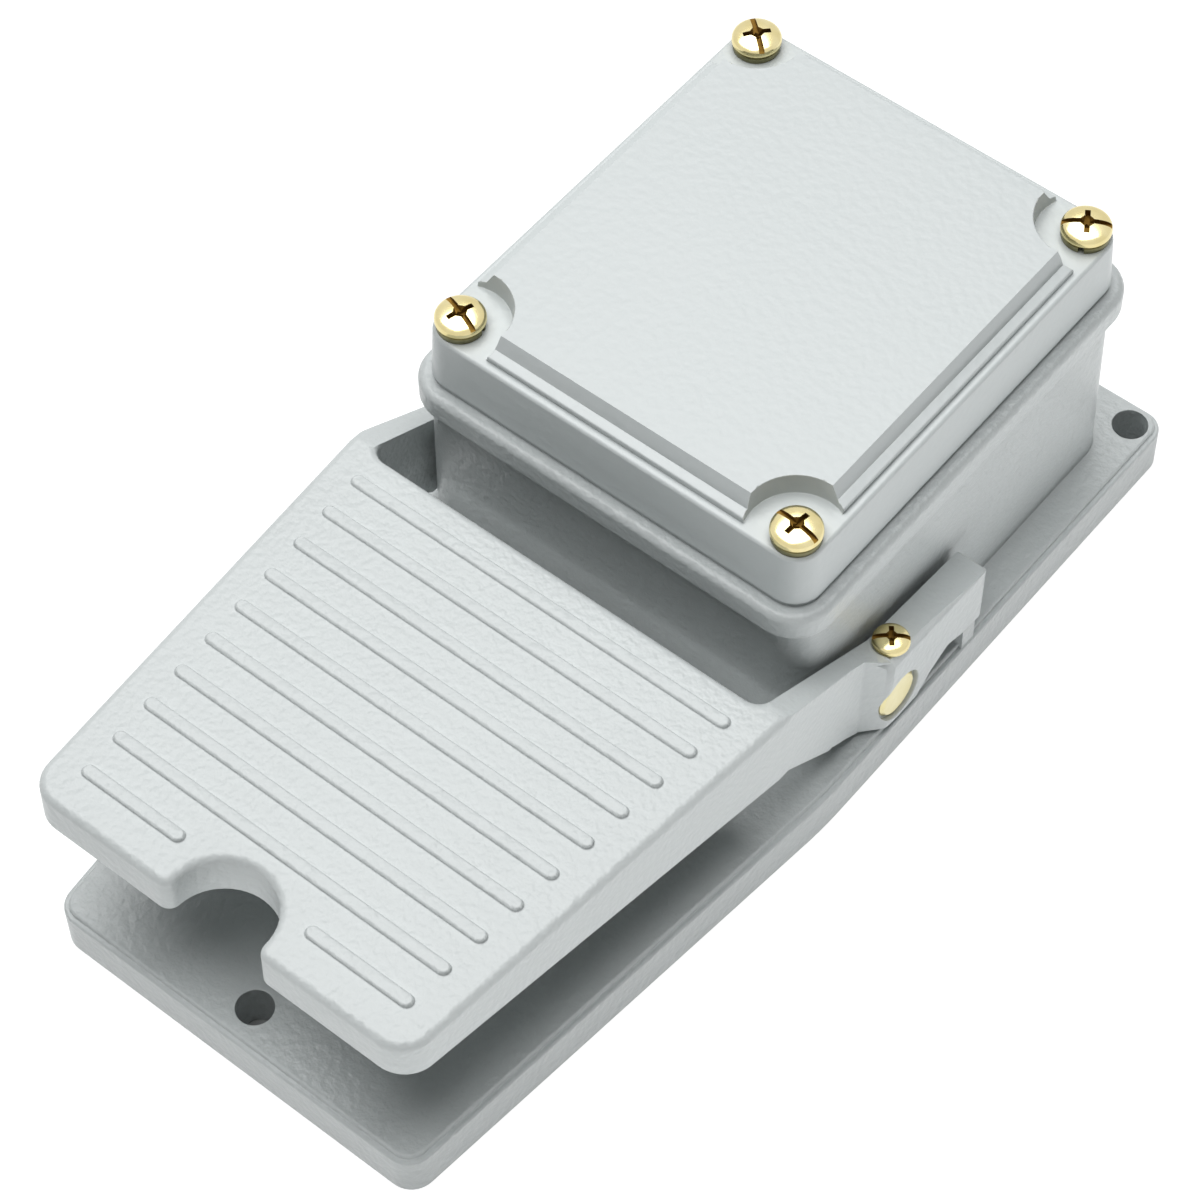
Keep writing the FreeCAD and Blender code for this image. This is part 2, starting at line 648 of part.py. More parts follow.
def casing_cavity():
    """Inside of the casing, with its bearing bosses, screw columns and pads left standing."""
    cavity = screw_frame_block(
        casing_margin(CASING_FLOOR) - CASING_WALL,
        CASING_FLOOR,
        casing_margin(FLANGE_BOTTOM_Z) - CASING_WALL,
        FLANGE_TOP_Z,
    )
    columns = [post(SCREW_COLUMN_RADIUS, x, y, CASING_FLOOR, FLANGE_TOP_Z) for x, y in COVER_SCREW_POINTS]
    wall_inner_x = COVER_SCREW_PITCH_X / 2 + casing_margin(PIVOT_Z) - CASING_WALL
    bearing = cross_rod(
        BUSH_RADIUS + BEARING_BOSS_WALL,
        wall_inner_x - BEARING_BOSS_DEPTH,
        wall_inner_x + CASING_WALL,
    )
    pad = long_rod(ENTRY_PAD_RADIUS, 0, ENTRY_Z, entry_wall_inner_y(), ENTRY_PAD_Y)
    floor_boss_points = [(side * BRACKET_SCREW_PITCH / 2, BRACKET_SCREW_Y) for side in (-1, 1)]
    floor_boss_points.append((EARTH_X, EARTH_Y))
    floor_bosses = [post(FLOOR_BOSS_RADIUS, x, y, CASING_FLOOR, FLOOR_BOSS_Z) for x, y in floor_boss_points]
    spigot = post(SPIGOT_DIAMETER / 2, LEVER_X, SPRING_Y, CASING_FLOOR, CASING_FLOOR + SPIGOT_HEIGHT)
    return cavity.cut(columns + both_sides(bearing) + [pad, spigot] + floor_bosses)


def base_bores():
    """Every round hole in the casting."""
    top = BASE_THICKNESS + 1
    holes = [post(MOUNT_HOLE_RADIUS, 0, TOE_HOLE_Y, -1, top)]
    holes += [post(MOUNT_HOLE_RADIUS, side * REAR_HOLE_X, REAR_HOLE_Y, -1, top) for side in (-1, 1)]
    screw_end_z = COVER_RIM_Z + SPRING_WASHER_THICKNESS - COVER_SCREW_LENGTH
    tapped_radius = COVER_SCREW_DIAMETER / 2 + THREAD_CLEARANCE
    for x, y in COVER_SCREW_POINTS:
        holes.append(post(tapped_radius, x, y, screw_end_z - THREAD_RUNOUT, FLANGE_TOP_Z + 1))
    wall_outer_x = COVER_SCREW_PITCH_X / 2 + CASING_FOOT_MARGIN
    holes += both_sides(cross_rod(BUSH_RADIUS, wall_outer_x - 2 * BUSH_LENGTH - CASING_WALL, wall_outer_x))
    small_radius = SMALL_SCREW_DIAMETER / 2 + THREAD_CLEARANCE
    floor_screw_end_z = FLOOR_BOSS_Z + BRACKET_THICKNESS - FLOOR_SCREW_LENGTH
    for side in (-1, 1):
        x = side * BRACKET_SCREW_PITCH / 2
        holes.append(post(small_radius, x, BRACKET_SCREW_Y, floor_screw_end_z - 1, FLOOR_BOSS_Z + 1))
    earth_screw_end_z = FLOOR_BOSS_Z + EARTH_WASHER_THICKNESS - FLOOR_SCREW_LENGTH
    holes.append(post(small_radius, EARTH_X, EARTH_Y, earth_screw_end_z - 1, FLOOR_BOSS_Z + 1))
    entry_radius = ENTRY_THREAD_DIAMETER / 2 + THREAD_CLEARANCE
    holes.append(long_rod(entry_radius, 0, ENTRY_Z, entry_wall_inner_y() - 1, ENTRY_PAD_Y + 1))
    return holes


def stop_posts():
    """Posts on the plate that the tails of the arms rest over."""
    half_length = STOP_POST_LENGTH / 2
    top_z = arm_tail_rest_z(STOP_POST_Y + half_length) - RUNNING_GAP
    one = box(
        STOP_POST_INNER_X,
        STOP_POST_INNER_X + STOP_POST_WIDTH,
        STOP_POST_Y - half_length,
        STOP_POST_Y + half_length,
        BASE_THICKNESS - 1,
        top_z,
    )
    return both_sides(one)


def arm_tail_rest_z(y):
    """Height of the arm's tail above the floor at rest, once the pedal is turned up by its tilt."""
    tilt = math.radians(PEDAL_TILT)
    return PIVOT_Z - (PIVOT_Z - ARM_TAIL_Z) * math.cos(tilt) - (y - PIVOT_Y) * math.tan(tilt)


def base_housing():
    """The base plate and the open casing, one aluminium die casting."""
    outside = fuse_all([base_plate()] + casing_outside() + stop_posts())
    return outside.cut([casing_cavity()] + underside_hollows() + base_bores())


# Cover, gasket and the screws that hold them


def cover_recesses():
    """Round recesses that clear the screw heads at the cover's corners."""
    height = COVER_TOP_Z - COVER_RIM_Z + 1
    top_radius = SCREW_RECESS_RADIUS + SCREW_RECESS_FLARE
    return [
        Part.makeCone(SCREW_RECESS_RADIUS, top_radius, height, FreeCAD.Vector(x, y, COVER_RIM_Z), Z_AXIS)
        for x, y in COVER_SCREW_POINTS
    ]


def cover_inside():
    """Hollow of the cover, clear of its screw columns and of the recess walls."""
    recess_floor_z = COVER_RIM_Z - COVER_WALL
    skirt = screw_frame_block(
        COVER_FOOT_MARGIN - COVER_WALL,
        COVER_FOOT_Z,
        COVER_RIM_MARGIN - COVER_WALL,
        recess_floor_z,
    )
    columns = [post(COVER_COLUMN_RADIUS, x, y, COVER_FOOT_Z, recess_floor_z) for x, y in COVER_SCREW_POINTS]
    roof_margin = COVER_RIM_MARGIN - COVER_LEDGE_WIDTH - COVER_BAND_WIDTH - COVER_BEVEL_WIDTH
    crown = screw_frame_block(roof_margin, recess_floor_z, roof_margin, COVER_TOP_Z - COVER_WALL)
    wall_radius = SCREW_RECESS_RADIUS + COVER_WALL
    recess_walls = [post(wall_radius, x, y, recess_floor_z, COVER_TOP_Z) for x, y in COVER_SCREW_POINTS]
    return [skirt.cut(columns), crown.cut(recess_walls)]


def cover():
    """Lid with a drafted skirt, a stepped and bevelled panel, and recessed corners."""
    skirt = screw_frame_block(COVER_FOOT_MARGIN, COVER_FOOT_Z, COVER_RIM_MARGIN, COVER_RIM_Z)
    skirt = rounded_rim(skirt, COVER_EDGE_ROUND, COVER_RIM_Z)
    step_margin = COVER_RIM_MARGIN - COVER_LEDGE_WIDTH
    band_margin = step_margin - COVER_BAND_WIDTH
    panel_margin = band_margin - COVER_BEVEL_WIDTH
    step = screw_frame_block(step_margin, COVER_RIM_Z - 1, step_margin, COVER_BAND_Z)
    band = screw_frame_block(step_margin, COVER_BAND_Z, band_margin, COVER_BEVEL_Z)
    bevel = screw_frame_block(band_margin, COVER_BEVEL_Z, panel_margin, COVER_TOP_Z)
    outside = fuse_all([skirt, step, band, bevel]).cut(cover_recesses())
    hole_radius = COVER_SCREW_DIAMETER / 2 + COVER_SCREW_CLEARANCE
    holes = [post(hole_radius, x, y, COVER_FOOT_Z - 1, COVER_TOP_Z) for x, y in COVER_SCREW_POINTS]
    return outside.cut(cover_inside() + holes)


def cover_gasket():
    """Flat rubber frame between flange and cover, with an ear round each screw."""
    outer_margin = COVER_FOOT_MARGIN - GASKET_SET_BACK
    inner_margin = COVER_FOOT_MARGIN - COVER_WALL
    frame = screw_frame_block(outer_margin, FLANGE_TOP_Z, outer_margin, COVER_FOOT_Z)
    opening = screw_frame_block(inner_margin, FLANGE_TOP_Z, inner_margin, COVER_FOOT_Z)
    ears = [post(GASKET_EAR_RADIUS, x, y, FLANGE_TOP_Z, COVER_FOOT_Z) for x, y in COVER_SCREW_POINTS]
    opening = opening.cut(ears)
    hole_radius = COVER_SCREW_DIAMETER / 2 + COVER_SCREW_CLEARANCE
    holes = [post(hole_radius, x, y, FLANGE_TOP_Z, COVER_FOOT_Z) for x, y in COVER_SCREW_POINTS]
    return frame.cut([opening] + holes)


def cover_screws():
    """Four screws on their washers."""
    screw = pan_screw(
        COVER_SCREW_DIAMETER, COVER_SCREW_LENGTH, COVER_SCREW_HEAD_DIAMETER, COVER_SCREW_HEAD_HEIGHT
    )
    head_z = COVER_RIM_Z + SPRING_WASHER_THICKNESS
    return [placed(screw, x, y, head_z) for x, y in COVER_SCREW_POINTS]


def cover_spring_washers():
    """Split ring washers under the cover screws' heads."""
    inner_radius = COVER_SCREW_DIAMETER / 2 + THREAD_CLEARANCE
    outer_radius = SPRING_WASHER_DIAMETER / 2
    half_gap = SPRING_WASHER_GAP / 2
    washers = []
    for x, y in COVER_SCREW_POINTS:
        top_z = COVER_RIM_Z + SPRING_WASHER_THICKNESS
        ring = post(outer_radius, x, y, COVER_RIM_Z, top_z).cut(post(inner_radius, x, y, COVER_RIM_Z, top_z))
        split = box(x, x + outer_radius, y - half_gap, y + half_gap, COVER_RIM_Z, top_z)
        washers.append(ring.cut(split))
    return washers


# Pedal


def pedal_plan():
    """Plan outline of the pedal and its arms, as if the notch and the gap between the arms were filled."""
    toe_x = PEDAL_TOE_WIDTH / 2
    rear_x = PEDAL_REAR_WIDTH / 2
    right = [
        (toe_x, PEDAL_TOE_Y, PEDAL_TOE_RADIUS),
        (rear_x, PEDAL_REAR_Y, 0),
        (ARM_WAIST_X, ARM_WAIST_START_Y, ARM_WAIST_RADIUS),
        (ARM_WAIST_X, ARM_WAIST_END_Y, ARM_WAIST_END_RADIUS),
        (ARM_BOSS_X, ARM_BOSS_START_Y, ARM_BOSS_RADIUS),
        (ARM_BOSS_X, ARM_REAR_Y, ARM_CORNER_RADIUS),
    ]
    left = [(-x, y, radius) for x, y, radius in reversed(right)]
    return right + left


def pedal_side_profile():
    """Side outline of skirt and arm: plate, sloping arm, seat for the lock screw, tail, belly and skirt."""
    belly_z = PIVOT_Z - ARM_BELLY_DEPTH
    ramp_front_y = PIVOT_Y - ARM_RAMP_REACH
    plate_end_y = PEDAL_REAR_Y + ARM_LEDGE_LENGTH / 2
    return [
        (PEDAL_TOE_Y - 1, PEDAL_TOP_Z + 1, 0),
        (plate_end_y, PEDAL_TOP_Z + 1, 0),
        (plate_end_y, PEDAL_TOP_Z, 0),
        (ARM_SEAT_START_Y, ARM_SEAT_Z, ARM_TOP_BEND_RADIUS),
        (ARM_SEAT_END_Y, ARM_SEAT_Z, 0),
        (ARM_REAR_Y, ARM_REAR_TOP_Z, ARM_TAIL_TOP_RADIUS),
        (ARM_REAR_Y, ARM_TAIL_Z + ARM_TAIL_CHAMFER, 0),
        (ARM_REAR_Y - ARM_TAIL_CHAMFER, ARM_TAIL_Z, 0),
        (PIVOT_Y + ARM_TAIL_FOOT_REACH, ARM_TAIL_Z, ARM_TAIL_FOOT_RADIUS),
        (PIVOT_Y + ARM_HOLLOW_REACH, ARM_TAIL_Z + ARM_HOLLOW_RISE, ARM_HOLLOW_RADIUS),
        (PIVOT_Y + ARM_HAUNCH_REACH, belly_z + ARM_HAUNCH_RISE, ARM_HAUNCH_RADIUS),
        (PIVOT_Y + ARM_BELLY_REAR_REACH, belly_z + ARM_BELLY_REAR_RISE, ARM_BELLY_RADIUS),
        (PIVOT_Y, belly_z, 0),
        (PIVOT_Y - ARM_BELLY_FRONT_REACH, belly_z + ARM_BELLY_FRONT_RISE, ARM_BELLY_FRONT_RADIUS),
        (ramp_front_y, belly_z + ARM_RAMP_RISE, ARM_RAMP_RADIUS),
        (ramp_front_y - ARM_LEDGE_LENGTH, belly_z + ARM_RAMP_RISE + ARM_LEDGE_RISE, ARM_RAMP_RADIUS),
        (PEDAL_REAR_Y + SKIRT_CORNER_FROM_REAR, PEDAL_TOP_Z - PEDAL_REAR_DEPTH, SKIRT_CORNER_RADIUS),
        (PEDAL_TOE_Y - 1, PEDAL_TOP_Z - PEDAL_TOE_DEPTH, 0),
    ]


def notch_tool(widen, mouth_radius):
    """Upright cutter for the toe notch, with a round end and a flared mouth."""
    radius = NOTCH_RADIUS + widen
    centre_y = PEDAL_TOE_Y + NOTCH_DEPTH - NOTCH_RADIUS
    mouth = min(mouth_radius, NOTCH_DEPTH - NOTCH_RADIUS - NOTCH_STRAIGHT)
    corners = [
        (radius, centre_y),
        (radius, PEDAL_TOE_Y + mouth),
        (radius + mouth, PEDAL_TOE_Y),
        (radius + mouth, PEDAL_TOE_Y - 2),
    ]
    z_low = PIVOT_Z
    right = [FreeCAD.Vector(x, y, z_low) for x, y in corners]
    left = [FreeCAD.Vector(-point.x, point.y, point.z) for point in right]
    flare = mouth * (1 - math.sqrt(0.5))
    right_bend = FreeCAD.Vector(radius + flare, PEDAL_TOE_Y + flare, z_low)
    left_bend = FreeCAD.Vector(-right_bend.x, right_bend.y, z_low)
    edges = [
        Part.Arc(left[0], FreeCAD.Vector(0, centre_y + radius, z_low), right[0]).toShape(),
        Part.makeLine(right[0], right[1]),
        Part.Arc(right[1], right_bend, right[2]).toShape(),
        Part.makeLine(right[2], right[3]),
        Part.makeLine(right[3], left[3]),
        Part.makeLine(left[3], left[2]),
        Part.Arc(left[2], left_bend, left[1]).toShape(),
        Part.makeLine(left[1], left[0]),
    ]
    return Part.Face(Part.Wire(edges)).extrude(Z_AXIS * (PEDAL_TOP_Z - z_low + 5))


def pedal_cells():
    """Hollows under the plate, between the skirt, four stiffeners and the notch's own wall."""
    underside_z = PEDAL_TOP_Z - PEDAL_PLATE
    front_y = PEDAL_TOE_Y + PEDAL_SKIRT
    rear_y = PEDAL_REAR_Y - PEDAL_SKIRT
    front_x = PEDAL_TOE_WIDTH / 2 - PEDAL_SKIRT
    rear_x = PEDAL_REAR_WIDTH / 2 - PEDAL_SKIRT
    notch_wall = notch_tool(NOTCH_WALL, NOTCH_WALL_MOUTH_RADIUS)
    half_stiffener = PEDAL_STIFFENER / 2
    middle_y = (front_y + rear_y) / 2
    shares = [2 * index / PEDAL_CELLS_ACROSS - 1 for index in range(PEDAL_CELLS_ACROSS + 1)]
    cells = []
    for left, right in zip(shares, shares[1:]):
        left_gap = 0 if left == shares[0] else half_stiffener
        right_gap = 0 if right == shares[-1] else half_stiffener
        for y_low, y_high in ((front_y, middle_y - half_stiffener), (middle_y + half_stiffener, rear_y)):
            low_x = front_x + (rear_x - front_x) * (y_low - front_y) / (rear_y - front_y)
            high_x = front_x + (rear_x - front_x) * (y_high - front_y) / (rear_y - front_y)
            outline = [
                (left * low_x + left_gap, y_low, PEDAL_CELL_RADIUS),
                (right * low_x - right_gap, y_low, PEDAL_CELL_RADIUS),
                (right * high_x - right_gap, y_high, PEDAL_CELL_RADIUS),
                (left * high_x + left_gap, y_high, PEDAL_CELL_RADIUS),
            ]
            cell = plan_prism(outline, PIVOT_Z, underside_z)
            cells.append(cell.cut(notch_wall))
    return cells


def tread_half_length(y):
    """Half length of a tread rib, which follows the pedal's tapered side at a set distance."""
    share = (y - PEDAL_TOE_Y) / (PEDAL_REAR_Y - PEDAL_TOE_Y)
    half_width = (PEDAL_TOE_WIDTH + (PEDAL_REAR_WIDTH - PEDAL_TOE_WIDTH) * share) / 2
    return half_width - TREAD_SIDE_MARGIN


def tread_rib(x_low, x_high, y):
    """Low raised bar with round ends and chamfered top edges."""
    radius = TREAD_WIDTH / 2
    z_low = PEDAL_TOP_Z - PEDAL_PLATE / 2
    z_high = PEDAL_TOP_Z + TREAD_HEIGHT
    end_round = TREAD_END_SHARE * radius
    bar = plan_prism(
        [
            (x_low, y - radius, end_round),
            (x_high, y - radius, end_round),
            (x_high, y + radius, end_round),
            (x_low, y + radius, end_round),
        ],
        z_low,
        z_high,
    )
    return chamfered_rim(bar, TREAD_TOP_CHAMFER, z_high)


def tread_ribs():
    """Rows of ribs across the pedal; a row that meets the notch is split by it."""
    notch_centre_y = PEDAL_TOE_Y + NOTCH_DEPTH - NOTCH_RADIUS
    ribs = []
    for row in range(TREAD_COUNT):
        y = PEDAL_REAR_Y - TREAD_REAR_MARGIN - row * TREAD_PITCH
        half_length = tread_half_length(y)
        if y - TREAD_WIDTH / 2 > notch_centre_y + NOTCH_RADIUS:
            ribs.append(tread_rib(-half_length, half_length, y))
        else:
            inner_x = NOTCH_RADIUS + TREAD_NOTCH_GAP
            ribs.append(tread_rib(inner_x, half_length, y))
            ribs.append(tread_rib(-half_length, -inner_x, y))
    return ribs


def arm_gap_tool():
    """Cutter for the gap between the arms, which the casing stands in."""
    corners = [
        (-ARM_INNER_X, PEDAL_REAR_Y, PEDAL_OPENING_RADIUS),
        (ARM_INNER_X, PEDAL_REAR_Y, PEDAL_OPENING_RADIUS),
        (ARM_INNER_X, ARM_REAR_Y + 1, 0),
        (-ARM_INNER_X, ARM_REAR_Y + 1, 0),
    ]
    return plan_prism(corners, 0, PEDAL_TOP_Z + 1)


def arm_bevels():
    """Cutters that bevel the outer top edge of both arms behind the waist."""
    top_z = ARM_SEAT_Z + 1
    slope = ARM_BEVEL_WIDTH / ARM_BEVEL_HEIGHT
    outer_x = ARM_BOSS_X + 1
    triangle = [
        FreeCAD.Vector(ARM_BOSS_X - ARM_BEVEL_WIDTH - slope, ARM_WAIST_END_Y, top_z),
        FreeCAD.Vector(outer_x, ARM_WAIST_END_Y, top_z),
        FreeCAD.Vector(outer_x, ARM_WAIST_END_Y, ARM_SEAT_Z - ARM_BEVEL_HEIGHT - 1 / slope),
    ]
    length = ARM_REAR_Y - ARM_WAIST_END_Y + 1
    wedge = Part.Face(Part.makePolygon(triangle + triangle[:1])).extrude(Y_AXIS * length)
    return both_sides(wedge)


def turned_up(shape):
    """The shape turned from level to the pedal's rest angle."""
    copy = shape.copy()
    copy.rotate(FreeCAD.Vector(0, PIVOT_Y, PIVOT_Z), X_AXIS, -PEDAL_TILT)
    return copy


def pedal():
    """Ribbed foot plate and its two arms, one aluminium die casting."""
    plan = plan_prism(pedal_plan(), 0, PEDAL_TOP_Z)
    plan = plan.cut([notch_tool(0, NOTCH_MOUTH_RADIUS), arm_gap_tool()])
    plan = rounded_rim(plan, PEDAL_TOP_ROUND, PEDAL_TOP_Z)
    side = profile_prism(pedal_side_profile(), -ARM_BOSS_X - 1, ARM_BOSS_X + 1)
    body = plan.common(side)
    body = body.cut(pedal_cells() + arm_bevels())
    body = body.fuse(tread_ribs())
    bore_radius = SHAFT_RADIUS + SHAFT_CLEARANCE
    counterbore_radius = SHAFT_RADIUS + SHAFT_COUNTERBORE_WALL
    bores = both_sides(cross_rod(bore_radius, ARM_INNER_X - 1, ARM_BOSS_X + 1))
    bores += both_sides(cross_rod(counterbore_radius, ARM_BOSS_X - SHAFT_COUNTERBORE_DEPTH, ARM_BOSS_X + 1))
    screw_radius = LOCK_SCREW_DIAMETER / 2 + THREAD_CLEARANCE
    bores += both_sides(post(screw_radius, LOCK_SCREW_X, PIVOT_Y, PIVOT_Z, ARM_SEAT_Z + 1))
    spot_radius = LOCK_SCREW_HEAD_DIAMETER / 2 + LOCK_SCREW_SPOT_GAP
    bores += both_sides(post(spot_radius, LOCK_SCREW_X, PIVOT_Y, ARM_SEAT_Z, PEDAL_TOP_Z))
    return turned_up(body.cut(bores))


def pivot_shaft():
    """Steel cross shaft with a blind hole under each lock screw and under the lever's grub screw."""
    nose_x = ARM_BOSS_X - SHAFT_END_INSET - SHAFT_CHAMFER
    nose_start = FreeCAD.Vector(nose_x, PIVOT_Y, PIVOT_Z)
    middle = cross_rod(SHAFT_RADIUS, -nose_x, nose_x)
    nose = Part.makeCone(SHAFT_RADIUS, SHAFT_RADIUS - SHAFT_CHAMFER, SHAFT_CHAMFER, nose_start, X_AXIS)
    shaft = fuse_all([middle] + both_sides(nose))
    lock_radius = LOCK_SCREW_DIAMETER / 2 + THREAD_CLEARANCE
    lock_floor = PIVOT_Z + SHAFT_RADIUS - LOCK_SCREW_BITE - THREAD_CLEARANCE
    lock_holes = both_sides(post(lock_radius, LOCK_SCREW_X, PIVOT_Y, lock_floor, PIVOT_Z + SHAFT_DIAMETER))
    grub_radius = GRUB_SCREW_DIAMETER / 2 + THREAD_CLEARANCE
    grub_floor = PIVOT_Z + SHAFT_RADIUS - GRUB_SCREW_BITE - THREAD_CLEARANCE
    grub_hole = post(grub_radius, LEVER_X, PIVOT_Y, grub_floor, PIVOT_Z + SHAFT_DIAMETER)
    return turned_up(shaft.cut(lock_holes)).cut(grub_hole)


def shaft_lock_screws():
    """Screws that clamp the arms to the shaft from above."""
    length = ARM_SEAT_Z - (PIVOT_Z + SHAFT_RADIUS - LOCK_SCREW_BITE)
    screw = pan_screw(LOCK_SCREW_DIAMETER, length, LOCK_SCREW_HEAD_DIAMETER, LOCK_SCREW_HEAD_HEIGHT)
    return [turned_up(placed(screw, side * LOCK_SCREW_X, PIVOT_Y, ARM_SEAT_Z)) for side in (-1, 1)]


# Shaft bearings


def bearing_outer_x():
    """Outer face of the casing's side wall at the shaft."""
    return COVER_SCREW_PITCH_X / 2 + casing_margin(PIVOT_Z + BUSH_RADIUS)


def ring_on_shaft(x_low, x_high):
    """Ring that fits the bore in the wall and lets the shaft turn."""
    outer = cross_rod(BUSH_RADIUS - PRESS_CLEARANCE, x_low, x_high)
    return outer.cut(cross_rod(SHAFT_RADIUS + SHAFT_CLEARANCE, x_low, x_high))


def shaft_bushes():
    """Sintered bronze bushes at the inner end of each bore."""
    high_x = bearing_outer_x() - SEAL_INSET - SEAL_LENGTH
    return both_sides(ring_on_shaft(high_x - BUSH_LENGTH, high_x))


def shaft_seals():
    """Rubber rings that keep dirt out of the bores."""
    high_x = bearing_outer_x() - SEAL_INSET
    return both_sides(ring_on_shaft(high_x - SEAL_LENGTH, high_x))


# Drive inside the casing


def drive_lever():
    """Clamped lever: its front flat sits on the return spring, its rear pad pushes the switch."""
    x_low = LEVER_X - LEVER_WIDTH / 2
    x_high = LEVER_X + LEVER_WIDTH / 2
    hub = cross_rod(LEVER_HUB_RADIUS, x_low, x_high)
    pad = cross_rod(LEVER_PAD_RADIUS, x_low, x_high, PLUNGER_Y, LEVER_PAD_Z)
    rear_arm = profile_prism(
        [
            (PIVOT_Y, PIVOT_Z + LEVER_ARM_ROOT, 0),
            (PLUNGER_Y, LEVER_PAD_Z, 0),
            (PLUNGER_Y, LEVER_PAD_Z - LEVER_PAD_RADIUS, 0),
            (PIVOT_Y, PIVOT_Z - LEVER_HUB_RADIUS, 0),
        ],
        x_low,
        x_high,
    )
    seat_front_y = SPRING_Y - LEVER_SEAT_LENGTH / 2
    seat_rear_y = SPRING_Y + LEVER_SEAT_LENGTH / 2
    seat_top_z = SPRING_TOP_Z + LEVER_SEAT_THICKNESS
    front_arm = profile_prism(
        [
            (seat_front_y, SPRING_TOP_Z, 0),
            (seat_rear_y, SPRING_TOP_Z, 0),
            (seat_rear_y + LEVER_SEAT_THICKNESS, PIVOT_Z + LEVER_HUB_RADIUS / 2, 0),
            (PIVOT_Y, PIVOT_Z + LEVER_HUB_RADIUS, 0),
            (seat_rear_y, seat_top_z, 0),
            (seat_front_y, seat_top_z, 0),
        ],
        x_low,
        x_high,
    )
    spigot = post(SPIGOT_DIAMETER / 2, LEVER_X, SPRING_Y, SPRING_TOP_Z - SPIGOT_HEIGHT, SPRING_TOP_Z)
    lever = fuse_all([hub, rear_arm, pad, front_arm, spigot])
    bore = cross_rod(SHAFT_RADIUS + SHAFT_CLEARANCE, x_low, x_high)
    grub_radius = GRUB_SCREW_DIAMETER / 2 + THREAD_CLEARANCE
    grub_hole = post(grub_radius, LEVER_X, PIVOT_Y, PIVOT_Z, PIVOT_Z + 2 * LEVER_HUB_RADIUS)
    return lever.cut([bore, grub_hole])


def lever_grub_screw():
    """Socket screw that locks the lever to the shaft."""
    low_z = PIVOT_Z + SHAFT_RADIUS - GRUB_SCREW_BITE
    high_z = PIVOT_Z + LEVER_HUB_RADIUS - 0.3
    screw = post(GRUB_SCREW_DIAMETER / 2, LEVER_X, PIVOT_Y, low_z, high_z)
    socket = post(GRUB_SCREW_DIAMETER / 4, LEVER_X, PIVOT_Y, high_z - GRUB_SCREW_DIAMETER / 2, high_z)
    return screw.cut(socket)


def return_spring():
    """Compression spring that lifts the pedal."""
    low_z = CASING_FLOOR + SPRING_SEAT_GAP
    high_z = SPRING_TOP_Z - SPRING_SEAT_GAP
    return helical_spring(SPRING_DIAMETER, SPRING_WIRE, SPRING_TURNS, LEVER_X, SPRING_Y, low_z, high_z)


# Snap-action switch


def switch_screw_holes(y_low, y_high):
    """Cutters for the two holes that the mounting screws pass through."""
    radius = SMALL_SCREW_DIAMETER / 2 + SMALL_SCREW_HOLE_CLEARANCE
    return [
        long_rod(radius, side * SWITCH_HOLE_PITCH / 2, SWITCH_HOLE_Z, y_low, y_high) for side in (-1, 1)
    ]


def switch_front_block(y_low, y_high):
    """Block with the switch's rounded front outline."""
    half_length = SWITCH_LENGTH / 2
    corners = [
        (FreeCAD.Vector(x, y_low, z), SWITCH_CORNER_RADIUS)
        for x, z in (
            (-half_length, SWITCH_BOTTOM_Z),
            (half_length, SWITCH_BOTTOM_Z),
            (half_length, SWITCH_TOP_Z),
            (-half_length, SWITCH_TOP_Z),
        )
    ]
    return Part.Face(rounded_wire(corners)).extrude(Y_AXIS * (y_high - y_low))


def switch_case():
    """Moulded block: a contact chamber open to the front, slots for the terminals and a plunger hole."""
    half_length = SWITCH_LENGTH / 2
    lid_y = SWITCH_FRONT_Y + SWITCH_LID
    block = switch_front_block(lid_y, SWITCH_REAR_Y)
    chamber = box(
        SWITCH_WALL - half_length,
        half_length - SWITCH_WALL,
        lid_y,
        SWITCH_REAR_Y - SWITCH_WALL,
        CAVITY_BOTTOM_Z,
        CAVITY_TOP_Z,
    )
    plunger_hole = post(
        PLUNGER_DIAMETER / 2 + PLUNGER_CLEARANCE, LEVER_X, PLUNGER_Y, SWITCH_BOTTOM_Z - 1, CAVITY_BOTTOM_Z + 1
    )
    slots = [terminal_slot(leg) for leg in terminal_legs()]
    return block.cut([chamber, plunger_hole] + slots + switch_screw_holes(lid_y, SWITCH_REAR_Y))


def switch_lid():
    """Flat lid on the front of the block."""
    lid_y = SWITCH_FRONT_Y + SWITCH_LID
    return switch_front_block(SWITCH_FRONT_Y, lid_y).cut(switch_screw_holes(SWITCH_FRONT_Y, lid_y))


def terminal_legs():
    """Place of each upright leg through the top of the block: common, normally open, normally closed."""
    outer = SWITCH_LENGTH / 2 - SWITCH_WALL
    common_x = BLADE_HINGE_X - 3.0
    open_x = BLADE_TIP_X - CONTACT_DIAMETER / 2 - 1.0
    closed_x = outer - TERMINAL_THICKNESS
    return common_x, open_x, closed_x


def terminal_slot(leg_x):
    """Slot that a terminal's leg passes through."""
    half_width = TERMINAL_WIDTH / 2 + SLOT_FIT
    return box(
        leg_x - SLOT_FIT,
        leg_x + TERMINAL_THICKNESS + SLOT_FIT,
        PLUNGER_Y - half_width,
        PLUNGER_Y + half_width,
        CAVITY_TOP_Z - 1,
        SWITCH_TOP_Z + 1,
    )


def terminal_strip(x_low, x_high, z_low, z_high):
    """One straight run of a terminal's brass strip."""
    half_width = TERMINAL_WIDTH / 2
    return box(x_low, x_high, PLUNGER_Y - half_width, PLUNGER_Y + half_width, z_low, z_high)


def lug_span(leg_x, direction):
    """Ends in X of the lug that is bent from a leg to one side."""
    if direction > 0:
        return leg_x, leg_x + TERMINAL_LUG
    return leg_x + TERMINAL_THICKNESS - TERMINAL_LUG, leg_x + TERMINAL_THICKNESS


